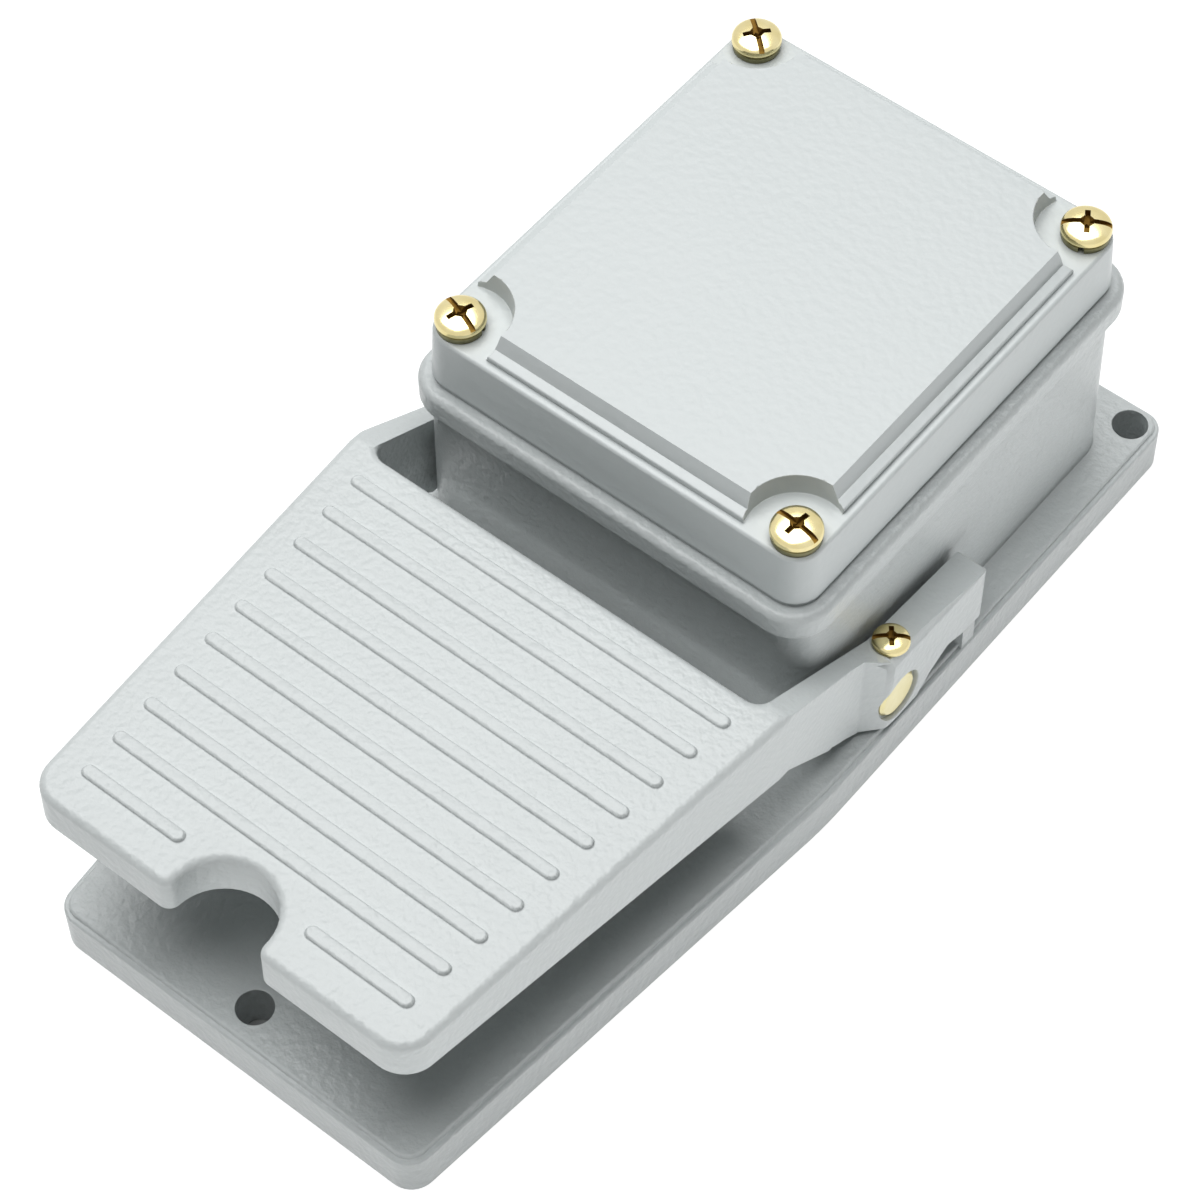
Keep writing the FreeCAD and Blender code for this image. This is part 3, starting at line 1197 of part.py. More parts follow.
def lug_screw_x(leg_x, direction):
    """Place in X of the lug's screw, midway along its free part."""
    x_low, x_high = lug_span(leg_x, direction)
    return (x_low + x_high + direction * TERMINAL_THICKNESS) / 2


def terminal_lug(leg_x, direction):
    """Flat lug over the top of the block, bent from the leg, with a tapped hole."""
    x_low, x_high = lug_span(leg_x, direction)
    lug = terminal_strip(x_low, x_high, LUG_Z, LUG_Z + TERMINAL_THICKNESS)
    hole_radius = TERMINAL_SCREW_DIAMETER / 2 + THREAD_CLEARANCE
    hole_x = lug_screw_x(leg_x, direction)
    return lug.cut(post(hole_radius, hole_x, PLUNGER_Y, LUG_Z, LUG_Z + TERMINAL_THICKNESS))


def contact_button(x, z_low, z_high):
    """Round contact on a strip or blade."""
    return post(CONTACT_DIAMETER / 2, x, PLUNGER_Y, z_low, z_high)


def contact_x():
    """Middle of the contacts along the switch."""
    return BLADE_TIP_X - CONTACT_DIAMETER / 2


def common_terminal():
    """Common terminal, whose foot carries the blade's hinge."""
    leg_x = terminal_legs()[0]
    lug = terminal_lug(leg_x, -1)
    leg = terminal_strip(leg_x, leg_x + TERMINAL_THICKNESS, BLADE_Z, LUG_Z)
    foot = terminal_strip(leg_x, BLADE_HINGE_X - SLOT_FIT, BLADE_Z, BLADE_Z + TERMINAL_THICKNESS)
    return fuse_all([leg, foot, lug])


def normally_open_terminal():
    """Terminal over the blade's tip, which the blade reaches when the pedal is pressed."""
    leg_x = terminal_legs()[1]
    lug = terminal_lug(leg_x, -1)
    contact_z = BLADE_Z + BLADE_THICKNESS + CONTACT_THICKNESS + CONTACT_TRAVEL + 2 * CONTACT_GAP
    strip_z = contact_z + CONTACT_THICKNESS
    leg = terminal_strip(leg_x, leg_x + TERMINAL_THICKNESS, strip_z, LUG_Z)
    half_contact = CONTACT_DIAMETER / 2
    strip_top_z = strip_z + TERMINAL_THICKNESS
    reach = terminal_strip(contact_x() - half_contact, contact_x() + half_contact, strip_z, strip_top_z)
    return fuse_all([leg, reach, lug, contact_button(contact_x(), contact_z, strip_z)])


def normally_closed_terminal():
    """Terminal under the blade's tip, which the blade rests on."""
    leg_x = terminal_legs()[2]
    lug = terminal_lug(leg_x, 1)
    contact_z = BLADE_Z - CONTACT_THICKNESS - CONTACT_GAP
    strip_z = contact_z - CONTACT_THICKNESS - TERMINAL_THICKNESS
    leg = terminal_strip(leg_x, leg_x + TERMINAL_THICKNESS, strip_z, LUG_Z)
    reach = terminal_strip(contact_x() - CONTACT_DIAMETER / 2, leg_x, strip_z, strip_z + TERMINAL_THICKNESS)
    button = contact_button(contact_x(), strip_z + TERMINAL_THICKNESS, contact_z)
    return fuse_all([leg, reach, lug, button])


def terminal_screws():
    """Wire clamping screws in the three lugs."""
    length = TERMINAL_THICKNESS * 2.5
    screw = pan_screw(
        TERMINAL_SCREW_DIAMETER, length, TERMINAL_SCREW_HEAD_DIAMETER, TERMINAL_SCREW_HEAD_HEIGHT, cross=False
    )
    screws = []
    for leg_x, direction in zip(terminal_legs(), (-1, -1, 1)):
        screws.append(placed(screw, lug_screw_x(leg_x, direction), PLUNGER_Y, LUG_Z + TERMINAL_THICKNESS))
    return screws


def contact_blade():
    """Moving blade with a contact button on both faces of its tip."""
    low_y = PLUNGER_Y - BLADE_WIDTH / 2
    high_y = PLUNGER_Y + BLADE_WIDTH / 2
    top_z = BLADE_Z + BLADE_THICKNESS
    blade = box(BLADE_HINGE_X, BLADE_TIP_X, low_y, high_y, BLADE_Z, top_z)
    low = contact_button(contact_x(), BLADE_Z - CONTACT_THICKNESS, BLADE_Z)
    high = contact_button(contact_x(), top_z, top_z + CONTACT_THICKNESS)
    return fuse_all([blade, low, high])


def switch_plunger():
    """Button that the lever lifts, held in the block by its collar."""
    collar_z = CAVITY_BOTTOM_Z + SLOT_FIT
    collar_top_z = collar_z + PLUNGER_COLLAR
    stem = post(PLUNGER_DIAMETER / 2, LEVER_X, PLUNGER_Y, PLUNGER_TIP_Z, collar_z)
    collar = post(PLUNGER_COLLAR_DIAMETER / 2, LEVER_X, PLUNGER_Y, collar_z, collar_top_z)
    return fuse_all([stem, collar])


def overtravel_spring():
    """Small spring between the plunger's collar and the blade."""
    low_z = CAVITY_BOTTOM_Z + SLOT_FIT + PLUNGER_COLLAR + SPRING_SEAT_GAP
    high_z = BLADE_Z - SPRING_SEAT_GAP
    return helical_spring(
        OVERTRAVEL_SPRING_DIAMETER,
        OVERTRAVEL_SPRING_WIRE,
        OVERTRAVEL_SPRING_TURNS,
        LEVER_X,
        PLUNGER_Y,
        low_z,
        high_z,
    )


# Bracket and small screws


def switch_bracket():
    """Bent steel angle: an upright behind the switch and a foot screwed to the floor bosses."""
    half_width = BRACKET_WIDTH / 2
    front_y = SWITCH_REAR_Y
    back_y = front_y + BRACKET_THICKNESS
    top_z = SWITCH_TOP_Z - BRACKET_TOP_MARGIN
    foot_top_z = FLOOR_BOSS_Z + BRACKET_THICKNESS
    profile = [
        (front_y, FLOOR_BOSS_Z, BRACKET_THICKNESS * 1.5),
        (back_y + BRACKET_FOOT, FLOOR_BOSS_Z, 0),
        (back_y + BRACKET_FOOT, foot_top_z, 0),
        (back_y, foot_top_z, BRACKET_THICKNESS * 0.5),
        (back_y, top_z, 0),
        (front_y, top_z, 0),
    ]
    angle = profile_prism(profile, -half_width, half_width)
    tapped_radius = SMALL_SCREW_DIAMETER / 2 + THREAD_CLEARANCE
    clear_radius = SMALL_SCREW_DIAMETER / 2 + SMALL_SCREW_HOLE_CLEARANCE
    holes = []
    for side in (-1, 1):
        foot_hole_x = side * BRACKET_SCREW_PITCH / 2
        holes.append(long_rod(tapped_radius, side * SWITCH_HOLE_PITCH / 2, SWITCH_HOLE_Z, front_y, back_y))
        holes.append(post(clear_radius, foot_hole_x, BRACKET_SCREW_Y, FLOOR_BOSS_Z, foot_top_z))
    return angle.cut(holes)


def small_screw(length):
    """Plain pan-head screw of the size used inside the casing."""
    head = SMALL_SCREW_HEAD_DIAMETER
    return pan_screw(SMALL_SCREW_DIAMETER, length, head, SMALL_SCREW_HEAD_HEIGHT, cross=False)


def bracket_screws():
    """Screws through the bracket's foot."""
    head_z = FLOOR_BOSS_Z + BRACKET_THICKNESS
    screw = small_screw(FLOOR_SCREW_LENGTH)
    return [placed(screw, side * BRACKET_SCREW_PITCH / 2, BRACKET_SCREW_Y, head_z) for side in (-1, 1)]


def switch_mount_screws():
    """Screws through the switch into the bracket."""
    screw = small_screw(SWITCH_SCREW_LENGTH)
    screw.rotate(ORIGIN, X_AXIS, 90)
    return [placed(screw, side * SWITCH_HOLE_PITCH / 2, SWITCH_FRONT_Y, SWITCH_HOLE_Z) for side in (-1, 1)]


def earth_washer():
    """Flat washer under the earth screw."""
    top_z = FLOOR_BOSS_Z + EARTH_WASHER_THICKNESS
    hole_radius = SMALL_SCREW_DIAMETER / 2 + SMALL_SCREW_HOLE_CLEARANCE
    disc = post(EARTH_WASHER_DIAMETER / 2, EARTH_X, EARTH_Y, FLOOR_BOSS_Z, top_z)
    return disc.cut(post(hole_radius, EARTH_X, EARTH_Y, FLOOR_BOSS_Z, top_z))


def earth_screw():
    """Screw that clamps the earth wire to the casting."""
    return placed(small_screw(FLOOR_SCREW_LENGTH), EARTH_X, EARTH_Y, FLOOR_BOSS_Z + EARTH_WASHER_THICKNESS)


# Cable entry


def gland_thread_end_y():
    """Inner end of the gland's thread, just past its locknut."""
    return entry_wall_inner_y() - LOCKNUT_THICKNESS - 1.0


def gland_body():
    """Hollow threaded body with an outer hexagon and a round nose."""
    hexagon_end_y = ENTRY_PAD_Y + GLAND_HEX_LENGTH
    thread = long_rod(ENTRY_THREAD_DIAMETER / 2, 0, ENTRY_Z, gland_thread_end_y(), ENTRY_PAD_Y)
    hexagon = hexagon_prism(GLAND_FLATS, ENTRY_PAD_Y, hexagon_end_y, 0, ENTRY_Z)
    nose = Part.makeCone(
        GLAND_NOSE_DIAMETER / 2,
        GLAND_NOSE_DIAMETER / 2 - GLAND_NOSE_LENGTH / 2,
        GLAND_NOSE_LENGTH,
        FreeCAD.Vector(0, hexagon_end_y, ENTRY_Z),
        Y_AXIS,
    )
    nose_end_y = hexagon_end_y + GLAND_NOSE_LENGTH
    bore = long_rod(GLAND_BORE / 2, 0, ENTRY_Z, gland_thread_end_y(), nose_end_y)
    return fuse_all([thread, hexagon, nose]).cut(bore)


def gland_seal():
    """Rubber ring in the gland's nose, bored for the cable."""
    end_y = ENTRY_PAD_Y + GLAND_HEX_LENGTH + GLAND_NOSE_LENGTH
    start_y = end_y - SEAL_RING_LENGTH
    ring = long_rod(GLAND_BORE / 2 - PRESS_CLEARANCE, 0, ENTRY_Z, start_y, end_y)
    return ring.cut(long_rod(SEAL_BORE / 2, 0, ENTRY_Z, start_y, end_y))


def gland_locknut():
    """Thin hexagon nut that holds the gland from inside the casing."""
    high_y = entry_wall_inner_y()
    low_y = high_y - LOCKNUT_THICKNESS
    bore = long_rod(ENTRY_THREAD_DIAMETER / 2 + THREAD_CLEARANCE, 0, ENTRY_Z, low_y, high_y)
    return hexagon_prism(LOCKNUT_FLATS, low_y, high_y, 0, ENTRY_Z).cut(bore)


os.makedirs("parts", exist_ok=True)

save("base_housing", base_housing())
save("cover_gasket", cover_gasket())
save("cover", cover())
save("cover_screws", cover_screws())
save("cover_spring_washers", cover_spring_washers())
save("shaft_bushes", shaft_bushes())
save("shaft_seals", shaft_seals())
save("pedal", pedal())
save("pivot_shaft", pivot_shaft())
save("shaft_lock_screws", shaft_lock_screws())
save("drive_lever", drive_lever())
save("lever_grub_screw", lever_grub_screw())
save("return_spring", return_spring())
save("switch_bracket", switch_bracket())
save("bracket_screws", bracket_screws())
save("switch_case", switch_case())
save("switch_lid", switch_lid())
save("switch_mount_screws", switch_mount_screws())
save("switch_plunger", switch_plunger())
save("overtravel_spring", overtravel_spring())
save("contact_blade", contact_blade())
save("common_terminal", common_terminal())
save("normally_open_terminal", normally_open_terminal())
save("normally_closed_terminal", normally_closed_terminal())
save("terminal_screws", terminal_screws())
save("earth_washer", earth_washer())
save("earth_screw", earth_screw())
save("gland_body", gland_body())
save("gland_seal", gland_seal())
save("gland_locknut", gland_locknut())
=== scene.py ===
# %% [markdown]
# # A heavy industrial foot switch
# This lesson dresses the CAD model of a die-cast foot switch: a ribbed pedal on two arms, hinged on a cross
# shaft, in front of a screwed-down switch box. The CAD solids are the frame. Each finished piece here either is
# a CAD solid with a real finish, or stands for one and is more detailed. Everything is in metres, with +Z up,
# and sizes are written in millimetres times MM.

import json
import math

import bmesh
import bpy
from mathutils import Matrix, Vector
from mathutils.kdtree import KDTree


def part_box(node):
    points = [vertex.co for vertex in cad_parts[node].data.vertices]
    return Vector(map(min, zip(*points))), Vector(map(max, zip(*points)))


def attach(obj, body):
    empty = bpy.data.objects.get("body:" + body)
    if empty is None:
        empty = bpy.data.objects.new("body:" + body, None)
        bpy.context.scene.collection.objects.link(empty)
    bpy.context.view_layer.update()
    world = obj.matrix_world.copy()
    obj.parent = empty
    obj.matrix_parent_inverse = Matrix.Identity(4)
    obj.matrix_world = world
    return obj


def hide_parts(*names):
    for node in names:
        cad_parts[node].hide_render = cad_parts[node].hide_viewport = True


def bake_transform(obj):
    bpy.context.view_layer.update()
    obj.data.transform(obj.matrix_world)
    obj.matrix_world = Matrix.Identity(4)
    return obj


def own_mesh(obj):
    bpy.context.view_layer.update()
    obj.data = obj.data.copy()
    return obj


MM = 0.001
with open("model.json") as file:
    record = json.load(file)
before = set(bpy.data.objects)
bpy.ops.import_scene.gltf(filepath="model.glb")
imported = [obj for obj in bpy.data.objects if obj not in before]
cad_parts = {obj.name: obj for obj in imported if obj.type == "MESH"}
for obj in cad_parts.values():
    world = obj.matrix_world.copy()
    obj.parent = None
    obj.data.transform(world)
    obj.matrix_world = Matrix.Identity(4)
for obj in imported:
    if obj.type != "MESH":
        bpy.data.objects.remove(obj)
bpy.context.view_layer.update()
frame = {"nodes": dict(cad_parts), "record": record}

# %% [markdown]
# ## The camera
# A photograph's view can be matched by eye, or worked out from straight edges and holes whose real places are
# known. The second way is used here: the camera stands about 0.72 m away, 40 degrees round from the toe and
# 55 degrees up, with a long lens, so that upright edges stay almost parallel.

# %% Camera
CAMERA_PLACE = Vector((258.63, -310.79, 597.33)) * MM
VIEW_DIRECTION = Vector((-0.37110, 0.44071, -0.81734))
PICTURE_UP = Vector((-0.50843, 0.64011, 0.57599))
LENS = 113.5
SENSOR_WIDTH = 36.0

camera_data = bpy.data.cameras.new("photo_camera")
camera_data.sensor_width = SENSOR_WIDTH
camera_data.lens = LENS
camera_data.clip_start = 0.01
camera = bpy.data.objects.new("photo_camera", camera_data)
bpy.context.scene.collection.objects.link(camera)
picture_right = VIEW_DIRECTION.cross(PICTURE_UP).normalized()
picture_up = picture_right.cross(VIEW_DIRECTION).normalized()
camera_turn = camera.matrix_world.to_3x3()
camera_turn.col[0] = picture_right
camera_turn.col[1] = picture_up
camera_turn.col[2] = -VIEW_DIRECTION.normalized()
camera.matrix_world = camera_turn.to_4x4()
camera.location = CAMERA_PLACE
bpy.context.scene.camera = camera
bpy.context.scene.view_settings.view_transform = "Standard"
print("camera lens", LENS, "mm, at", [round(value, 3) for value in CAMERA_PLACE])

# %% [markdown]
# ## Colours and nodes
# Paint charts and pictures give colours as sRGB hex values, while a shader counts light linearly, so one
# function turns the first into the second. A second small function adds a node to any tree, with its settings,
# the values of its sockets and the links that go into it. Every finish and every tree below is built with it.
# A third gives an empty material to fill.


# %% Helpers
def hex_colour(code):
    """Linear colour, with full opacity, from an sRGB hex value such as BABFBF."""
    channels = [int(code[start : start + 2], 16) / 255 for start in (0, 2, 4)]
    linear = [value / 12.92 if value <= 0.04045 else ((value + 0.055) / 1.055) ** 2.4 for value in channels]
    return (*linear, 1.0)


def add_node(tree, kind, values=None, links=None, **settings):
    """New node in a tree: settings are its properties, values its sockets, links what feeds them."""
    node = tree.nodes.new(kind)
    for name, value in settings.items():
        setattr(node, name, value)
    for socket, value in (values or {}).items():
        node.inputs[socket].default_value = value
    for socket, source in (links or {}).items():
        tree.links.new(source, node.inputs[socket])
    return node


def new_material(name):
    """Empty node material and its tree."""
    material = bpy.data.materials.new(name)
    material.use_nodes = True
    material.node_tree.nodes.clear()
    return material, material.node_tree


print("mid grey in linear light:", [round(value, 3) for value in hex_colour("808080")])

# %% [markdown]
# ## The studio
# The photograph has the object on pure white with hardly a shadow. White could come from strong lamps, but then
# the pale paint would burn out too. So the lamp stays at a plain level. The evenly bright top faces say that it
# is one big soft light nearly overhead, a little to the left. The bright right walls, and the dark ones that
# only look at the pedal, say that the white paper itself gives light upwards, as a light table does.

# %% Lamp
KEY_TOWARDS = (-0.17, 0.06, 0.98)
KEY_DISTANCE = 1.4
KEY_WIDTH = 1.5
KEY_WATTS = 28.4

key_data = bpy.data.lights.new("soft_key", "AREA")
key_data.shape = "SQUARE"
key_data.size = KEY_WIDTH
key_data.energy = KEY_WATTS
key = bpy.data.objects.new("soft_key", key_data)
key.rotation_euler = Vector(KEY_TOWARDS).to_track_quat("Z", "Y").to_euler()
key.location = Vector(KEY_TOWARDS).normalized() * KEY_DISTANCE
bpy.context.scene.collection.objects.link(key)
print("key light at", [round(value, 2) for value in key.location], "m")

# %% [markdown]
# ## The white room
# The photograph has pure white all round, so the camera, mirrors and glass see white everywhere. If that white
# also lit the object from all sides, it would wash out every shadow. So the rays that light matt surfaces see
# only a weak sky.

# %% Room
SKY_STRENGTH = 0.06
MATH = "ShaderNodeMath"

world = bpy.data.worlds.new("studio_room")
world.use_nodes = True
world.node_tree.nodes.clear()
room = world.node_tree
ray = add_node(room, "ShaderNodeLightPath")
seen = ray.outputs["Is Camera Ray"]
for other_ray in ("Is Glossy Ray", "Is Transmission Ray"):
    seen = add_node(room, MATH, links={0: seen, 1: ray.outputs[other_ray]}, operation="MAXIMUM").outputs[0]
strength = add_node(room, "ShaderNodeMix", values={2: SKY_STRENGTH, 3: 1.0}, links={0: seen})
sky = add_node(
    room, "ShaderNodeBackground", values={"Color": hex_colour("FFFFFF")}, links={"Strength": strength.outputs[0]}
)
add_node(room, "ShaderNodeOutputWorld", links={"Surface": sky.outputs[0]})
bpy.context.scene.world = world
print("room: white when seen, sky", SKY_STRENGTH)

# %% [markdown]
# ## Light from the paper
# A light panel under the paper lights the low walls from below. It is dim beside the base, whose edge is grey in
# the photograph, and bright further out on the right, where the photograph shows the box's walls bright. Under
# the three screw holes the glow is left out, because the object shades the paper there, and the photograph shows
# the holes nearly black. Distances measured in the paper's material say where each of these is.

# %% Glow of the paper
PANEL_NEAR = 0.8
PANEL_LEFT = 0.95
PANEL_RIGHT = 2.60
PANEL_NEAR_END = (15 * MM, 80 * MM)
PANEL_END = (150 * MM, 300 * MM)
HOLE_SHADE = 4.5 * MM
VECTOR_MATH = "ShaderNodeVectorMath"

mounts = {mount["name"]: mount for mount in frame["record"]["mounts"]}
rear_half_pitch = mounts["rear_mounting_holes"]["dims"]["spacing_x_mm"] * MM / 2
rear_y = mounts["rear_mounting_holes"]["pos_m"][1]
toe_y = mounts["toe_mounting_hole"]["pos_m"][1]
holes = [(0, toe_y, 0), (-rear_half_pitch, rear_y, 0), (rear_half_pitch, rear_y, 0)]
base_low, base_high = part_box("base_housing")

paper_material, paper_tree = new_material("white_paper_on_a_light_panel")
place = add_node(paper_tree, "ShaderNodeTexCoord").outputs["Object"]
from_middle = add_node(paper_tree, VECTOR_MATH, links={0: place}, operation="ABSOLUTE")
past_edge = add_node(
    paper_tree,
    VECTOR_MATH,
    values={1: (base_high.x, base_high.y, 0.0)},
    links={0: from_middle.outputs[0]},
    operation="SUBTRACT",
)
outwards_only = add_node(
    paper_tree, VECTOR_MATH, values={1: (0.0, 0.0, 0.0)}, links={0: past_edge.outputs[0]}, operation="MAXIMUM"
)
from_base = add_node(paper_tree, VECTOR_MATH, links={0: outwards_only.outputs[0]}, operation="LENGTH").outputs[1]
across = add_node(paper_tree, "ShaderNodeSeparateXYZ", links={0: place})
panel_light = add_node(
    paper_tree,
    "ShaderNodeMapRange",
    values={"From Min": base_low.x, "From Max": base_high.x, "To Min": PANEL_LEFT, "To Max": PANEL_RIGHT},
    links={"Value": across.outputs[0]},
)
panel_inner = add_node(
    paper_tree,
    "ShaderNodeMapRange",
    values={"From Min": PANEL_NEAR_END[0], "From Max": PANEL_NEAR_END[1], "To Min": PANEL_NEAR},
    links={"Value": from_base, "To Max": panel_light.outputs[0]},
    interpolation_type="SMOOTHSTEP",
)
panel_outer = add_node(
    paper_tree,
    "ShaderNodeMapRange",
    values={"From Min": PANEL_END[0], "From Max": PANEL_END[1], "To Min": 1.0, "To Max": 0.0},
    links={"Value": from_base},
    interpolation_type="SMOOTHSTEP",
)
panel = add_node(
    paper_tree, MATH, links={0: panel_inner.outputs[0], 1: panel_outer.outputs[0]}, operation="MULTIPLY"
)
distances = [
    add_node(paper_tree, VECTOR_MATH, values={1: hole}, links={0: place}, operation="DISTANCE").outputs[1]
    for hole in holes
]
from_hole = distances[0]
for distance in distances[1:]:
    from_hole = add_node(paper_tree, MATH, links={0: from_hole, 1: distance}, operation="MINIMUM").outputs[0]
clear_of_holes = add_node(paper_tree, MATH, values={1: HOLE_SHADE}, links={0: from_hole}, operation="GREATER_THAN")
print("glow left out round", len(holes), "holes")

# %% [markdown]
# ## The paper
# The sheet shows nearly white to the camera and to mirrored rays, whatever the panel gives to the walls. It keeps
# the object's soft shadow, because part of its white is the lamp's light on a grey that lies under the glow. One
# large square is enough, since the photograph shows no edge of it.

# %% Paper
PAPER_SEEN = 0.90
PAPER_GREY = "909292"
PAPER_REACH = 4.0

paper_ray = add_node(paper_tree, "ShaderNodeLightPath")
paper_seen = add_node(
    paper_tree,
    MATH,
    links={0: paper_ray.outputs["Is Camera Ray"], 1: paper_ray.outputs["Is Glossy Ray"]},
    operation="MAXIMUM",
)
paper_glow = add_node(
    paper_tree, "ShaderNodeMix", values={3: PAPER_SEEN}, links={0: paper_seen.outputs[0], 2: panel.outputs[0]}
)
open_glow = add_node(
    paper_tree, MATH, links={0: paper_glow.outputs[0], 1: clear_of_holes.outputs[0]}, operation="MULTIPLY"
)
glow = add_node(paper_tree, "ShaderNodeEmission", links={"Strength": open_glow.outputs[0]})
paper = add_node(paper_tree, "ShaderNodeBsdfDiffuse", values={"Color": hex_colour(PAPER_GREY)})
both = add_node(paper_tree, "ShaderNodeAddShader", links={0: glow.outputs[0], 1: paper.outputs[0]})
add_node(paper_tree, "ShaderNodeOutputMaterial", links={"Surface": both.outputs[0]})

paper_corners = [(side * PAPER_REACH, end * PAPER_REACH, 0) for side, end in ((-1, -1), (1, -1), (1, 1), (-1, 1))]
paper_mesh = bpy.data.meshes.new("paper_floor")
paper_mesh.from_pydata(paper_corners, [], [(0, 1, 2, 3)])
paper_mesh.materials.append(paper_material)
floor = bpy.data.objects.new("paper_floor", paper_mesh)
bpy.context.scene.collection.objects.link(floor)
print("paper floor", 2 * PAPER_REACH, "m square")

# %% [markdown]
# ## How every finish ends
# No surface is one flat colour: paint dries in clouds, plating comes out in patches, and plastic has flecks. So
# every finish here mixes two close tones by a noise of its own, and only its polish, bumps and kind differ.
# A picture would need unwrapping, while noise in object coordinates has the right scale on every face.


# %% Surface in two tones
def two_tone_surface(tree, colours, share, roughness, bump, values):
    """Ends a material: two tones mixed by a noise, on a surface with this roughness and these bumps."""
    tone = add_node(
        tree,
        "ShaderNodeMix",
        values={6: hex_colour(colours[0]), 7: hex_colour(colours[1])},
        links={0: share.outputs["Fac"]},
        data_type="RGBA",
    )
    surface = add_node(
        tree,
        "ShaderNodeBsdfPrincipled",
        values=values,
        links={"Base Color": tone.outputs[2], "Roughness": roughness.outputs[0], "Normal": bump.outputs[0]},
    )
    add_node(tree, "ShaderNodeOutputMaterial", links={"Surface": surface.outputs[0]})


print("orange-peel grey in linear light:", [round(value, 3) for value in hex_colour("BABFBF")])

# %% [markdown]
# ## Enamel on the castings
# The base, the cover and the pedal are aluminium die castings under a baked silver-grey enamel. The paint is
# satin: it spreads a highlight over a finger's width and shows thin bright lines along rounded edges. Paint that
# dries on a warm casting shrinks into a fine orange peel, about a millimetre from crest to crest. The cover is
# smoothest, the pedal shows the peel, and the base keeps the coarser sand of its mould. A sculpted surface would
# need millions of faces for that, so two layers of bumps do it.


# %% Enamel
CLOUD_MM = 35


def enamel(name, colours, peel_mm, peel_depth_mm, speck_mm, speck_depth_mm, roughness):
    """Baked silver-grey enamel, with an orange peel and, on rough castings, finer specks."""
    material, tree = new_material(name)
    place = add_node(tree, "ShaderNodeTexCoord")
    cloud = add_node(
        tree,
        "ShaderNodeTexNoise",
        values={"Scale": 1 / (CLOUD_MM * MM), "Detail": 2.0},
        links={"Vector": place.outputs["Object"]},
    )
    shine = add_node(
        tree,
        "ShaderNodeMapRange",
        values={"To Min": roughness - 0.05, "To Max": roughness + 0.06},
        links={"Value": cloud.outputs["Fac"]},
    )
    peel = add_node(
        tree,
        "ShaderNodeTexNoise",
        values={"Scale": 1 / (peel_mm * MM), "Detail": 1.0, "Roughness": 0.4},
        links={"Vector": place.outputs["Object"]},
    )
    peel_bump = add_node(
        tree,
        "ShaderNodeBump",
        values={"Strength": 1.0, "Distance": peel_depth_mm * MM},
        links={"Height": peel.outputs["Fac"]},
    )
    specks = add_node(
        tree,
        "ShaderNodeTexNoise",
        values={"Scale": 1 / (speck_mm * MM), "Detail": 3.0, "Roughness": 0.6},
        links={"Vector": place.outputs["Object"]},
    )
    speck_bump = add_node(
        tree,
        "ShaderNodeBump",
        values={"Strength": 1.0, "Distance": speck_depth_mm * MM},
        links={"Height": specks.outputs["Fac"], "Normal": peel_bump.outputs[0]},
    )
    two_tone_surface(tree, colours, cloud, shine, speck_bump, {"Metallic": 0.0, "IOR": 1.5})
    return material


# Calm pale grey planes, with a soft sheen that drifts.
COVER_ENAMEL = enamel("baked_enamel_smooth", ("BCC2C2", "C2C7C7"), 1.8, 0.10, 0.6, 0.015, 0.33)
# The same grey, pebbled like orange skin where light grazes it.
PEDAL_ENAMEL = enamel("baked_enamel_orange_peel", ("BABFBF", "C2C7C7"), 1.3, 0.22, 0.6, 0.04, 0.34)
# A shade deeper and gritty, so the base looks heavy.
BASE_ENAMEL = enamel("baked_enamel_sandy", ("B6BBBB", "BEC3C3"), 1.4, 0.26, 0.5, 0.10, 0.30)
print("three coarsenesses of one enamel")

# %% [markdown]
# ## Bare and plated metals
# The screws and washers are steel, zinc plated and yellow passivated: a pale gold with darker and greener
# patches, smooth enough to mirror the room. The cross shaft has the same plating over turned steel. Inside are
# plain steel, bronze, brass and nickel plate. They differ in colour, in how blurred their mirror is, and in the
# direction of their marks, so one recipe with those sizes as inputs makes them all.


# %% Metals
def metal(name, colours, roughness, patch_mm=6.0, grain_mm=0.5, grain_depth_mm=0.004, stretch=(1.0, 1.0, 1.0)):
    """Metal with two tones in patches, an uneven polish and a fine grain that stretch can draw out."""
    material, tree = new_material(name)
    place = add_node(tree, "ShaderNodeTexCoord")
    patches = add_node(
        tree,
        "ShaderNodeTexNoise",
        values={"Scale": 1 / (patch_mm * MM), "Detail": 2.0},
        links={"Vector": place.outputs["Object"]},
    )
    drawn = add_node(
        tree, "ShaderNodeMapping", values={"Scale": stretch}, links={"Vector": place.outputs["Object"]}
    )
    grain = add_node(
        tree,
        "ShaderNodeTexNoise",
        values={"Scale": 1 / (grain_mm * MM), "Detail": 2.0},
        links={"Vector": drawn.outputs[0]},
    )
    polish = add_node(
        tree,
        "ShaderNodeMapRange",
        values={"To Min": roughness * 0.8, "To Max": roughness * 1.25},
        links={"Value": grain.outputs["Fac"]},
    )
    bump = add_node(
        tree,
        "ShaderNodeBump",
        values={"Strength": 1.0, "Distance": grain_depth_mm * MM},
        links={"Height": grain.outputs["Fac"]},
    )
    two_tone_surface(tree, colours, patches, polish, bump, {"Metallic": 1.0})
    return material


# Bright straw gold, the warm sparks on a cold grey body.
YELLOW_ZINC = metal("yellow_passivated_zinc", ("EADFB2", "D3C283"), 0.20, 3.0, 0.4, 0.002)
# Dark brown in the drive of each screw: the plating's deeper tone there, darkened as painted shade.
DRIVE_SHADE_ZINC = metal("painted_shade_in_zinc_screw_drive", ("84662C", "4C3616"), 0.55, 1.0, 0.3, 0.006)
# Dull olive ring: the head's shadow painted into the washer's zinc, which sets a bright head off from the pale
# cover.
HEAD_SHADOW_ZINC = metal("painted_head_shadow_on_zinc_washer", ("8A8768", "5F5D44"), 0.42, 2.0, 0.3, 0.004)
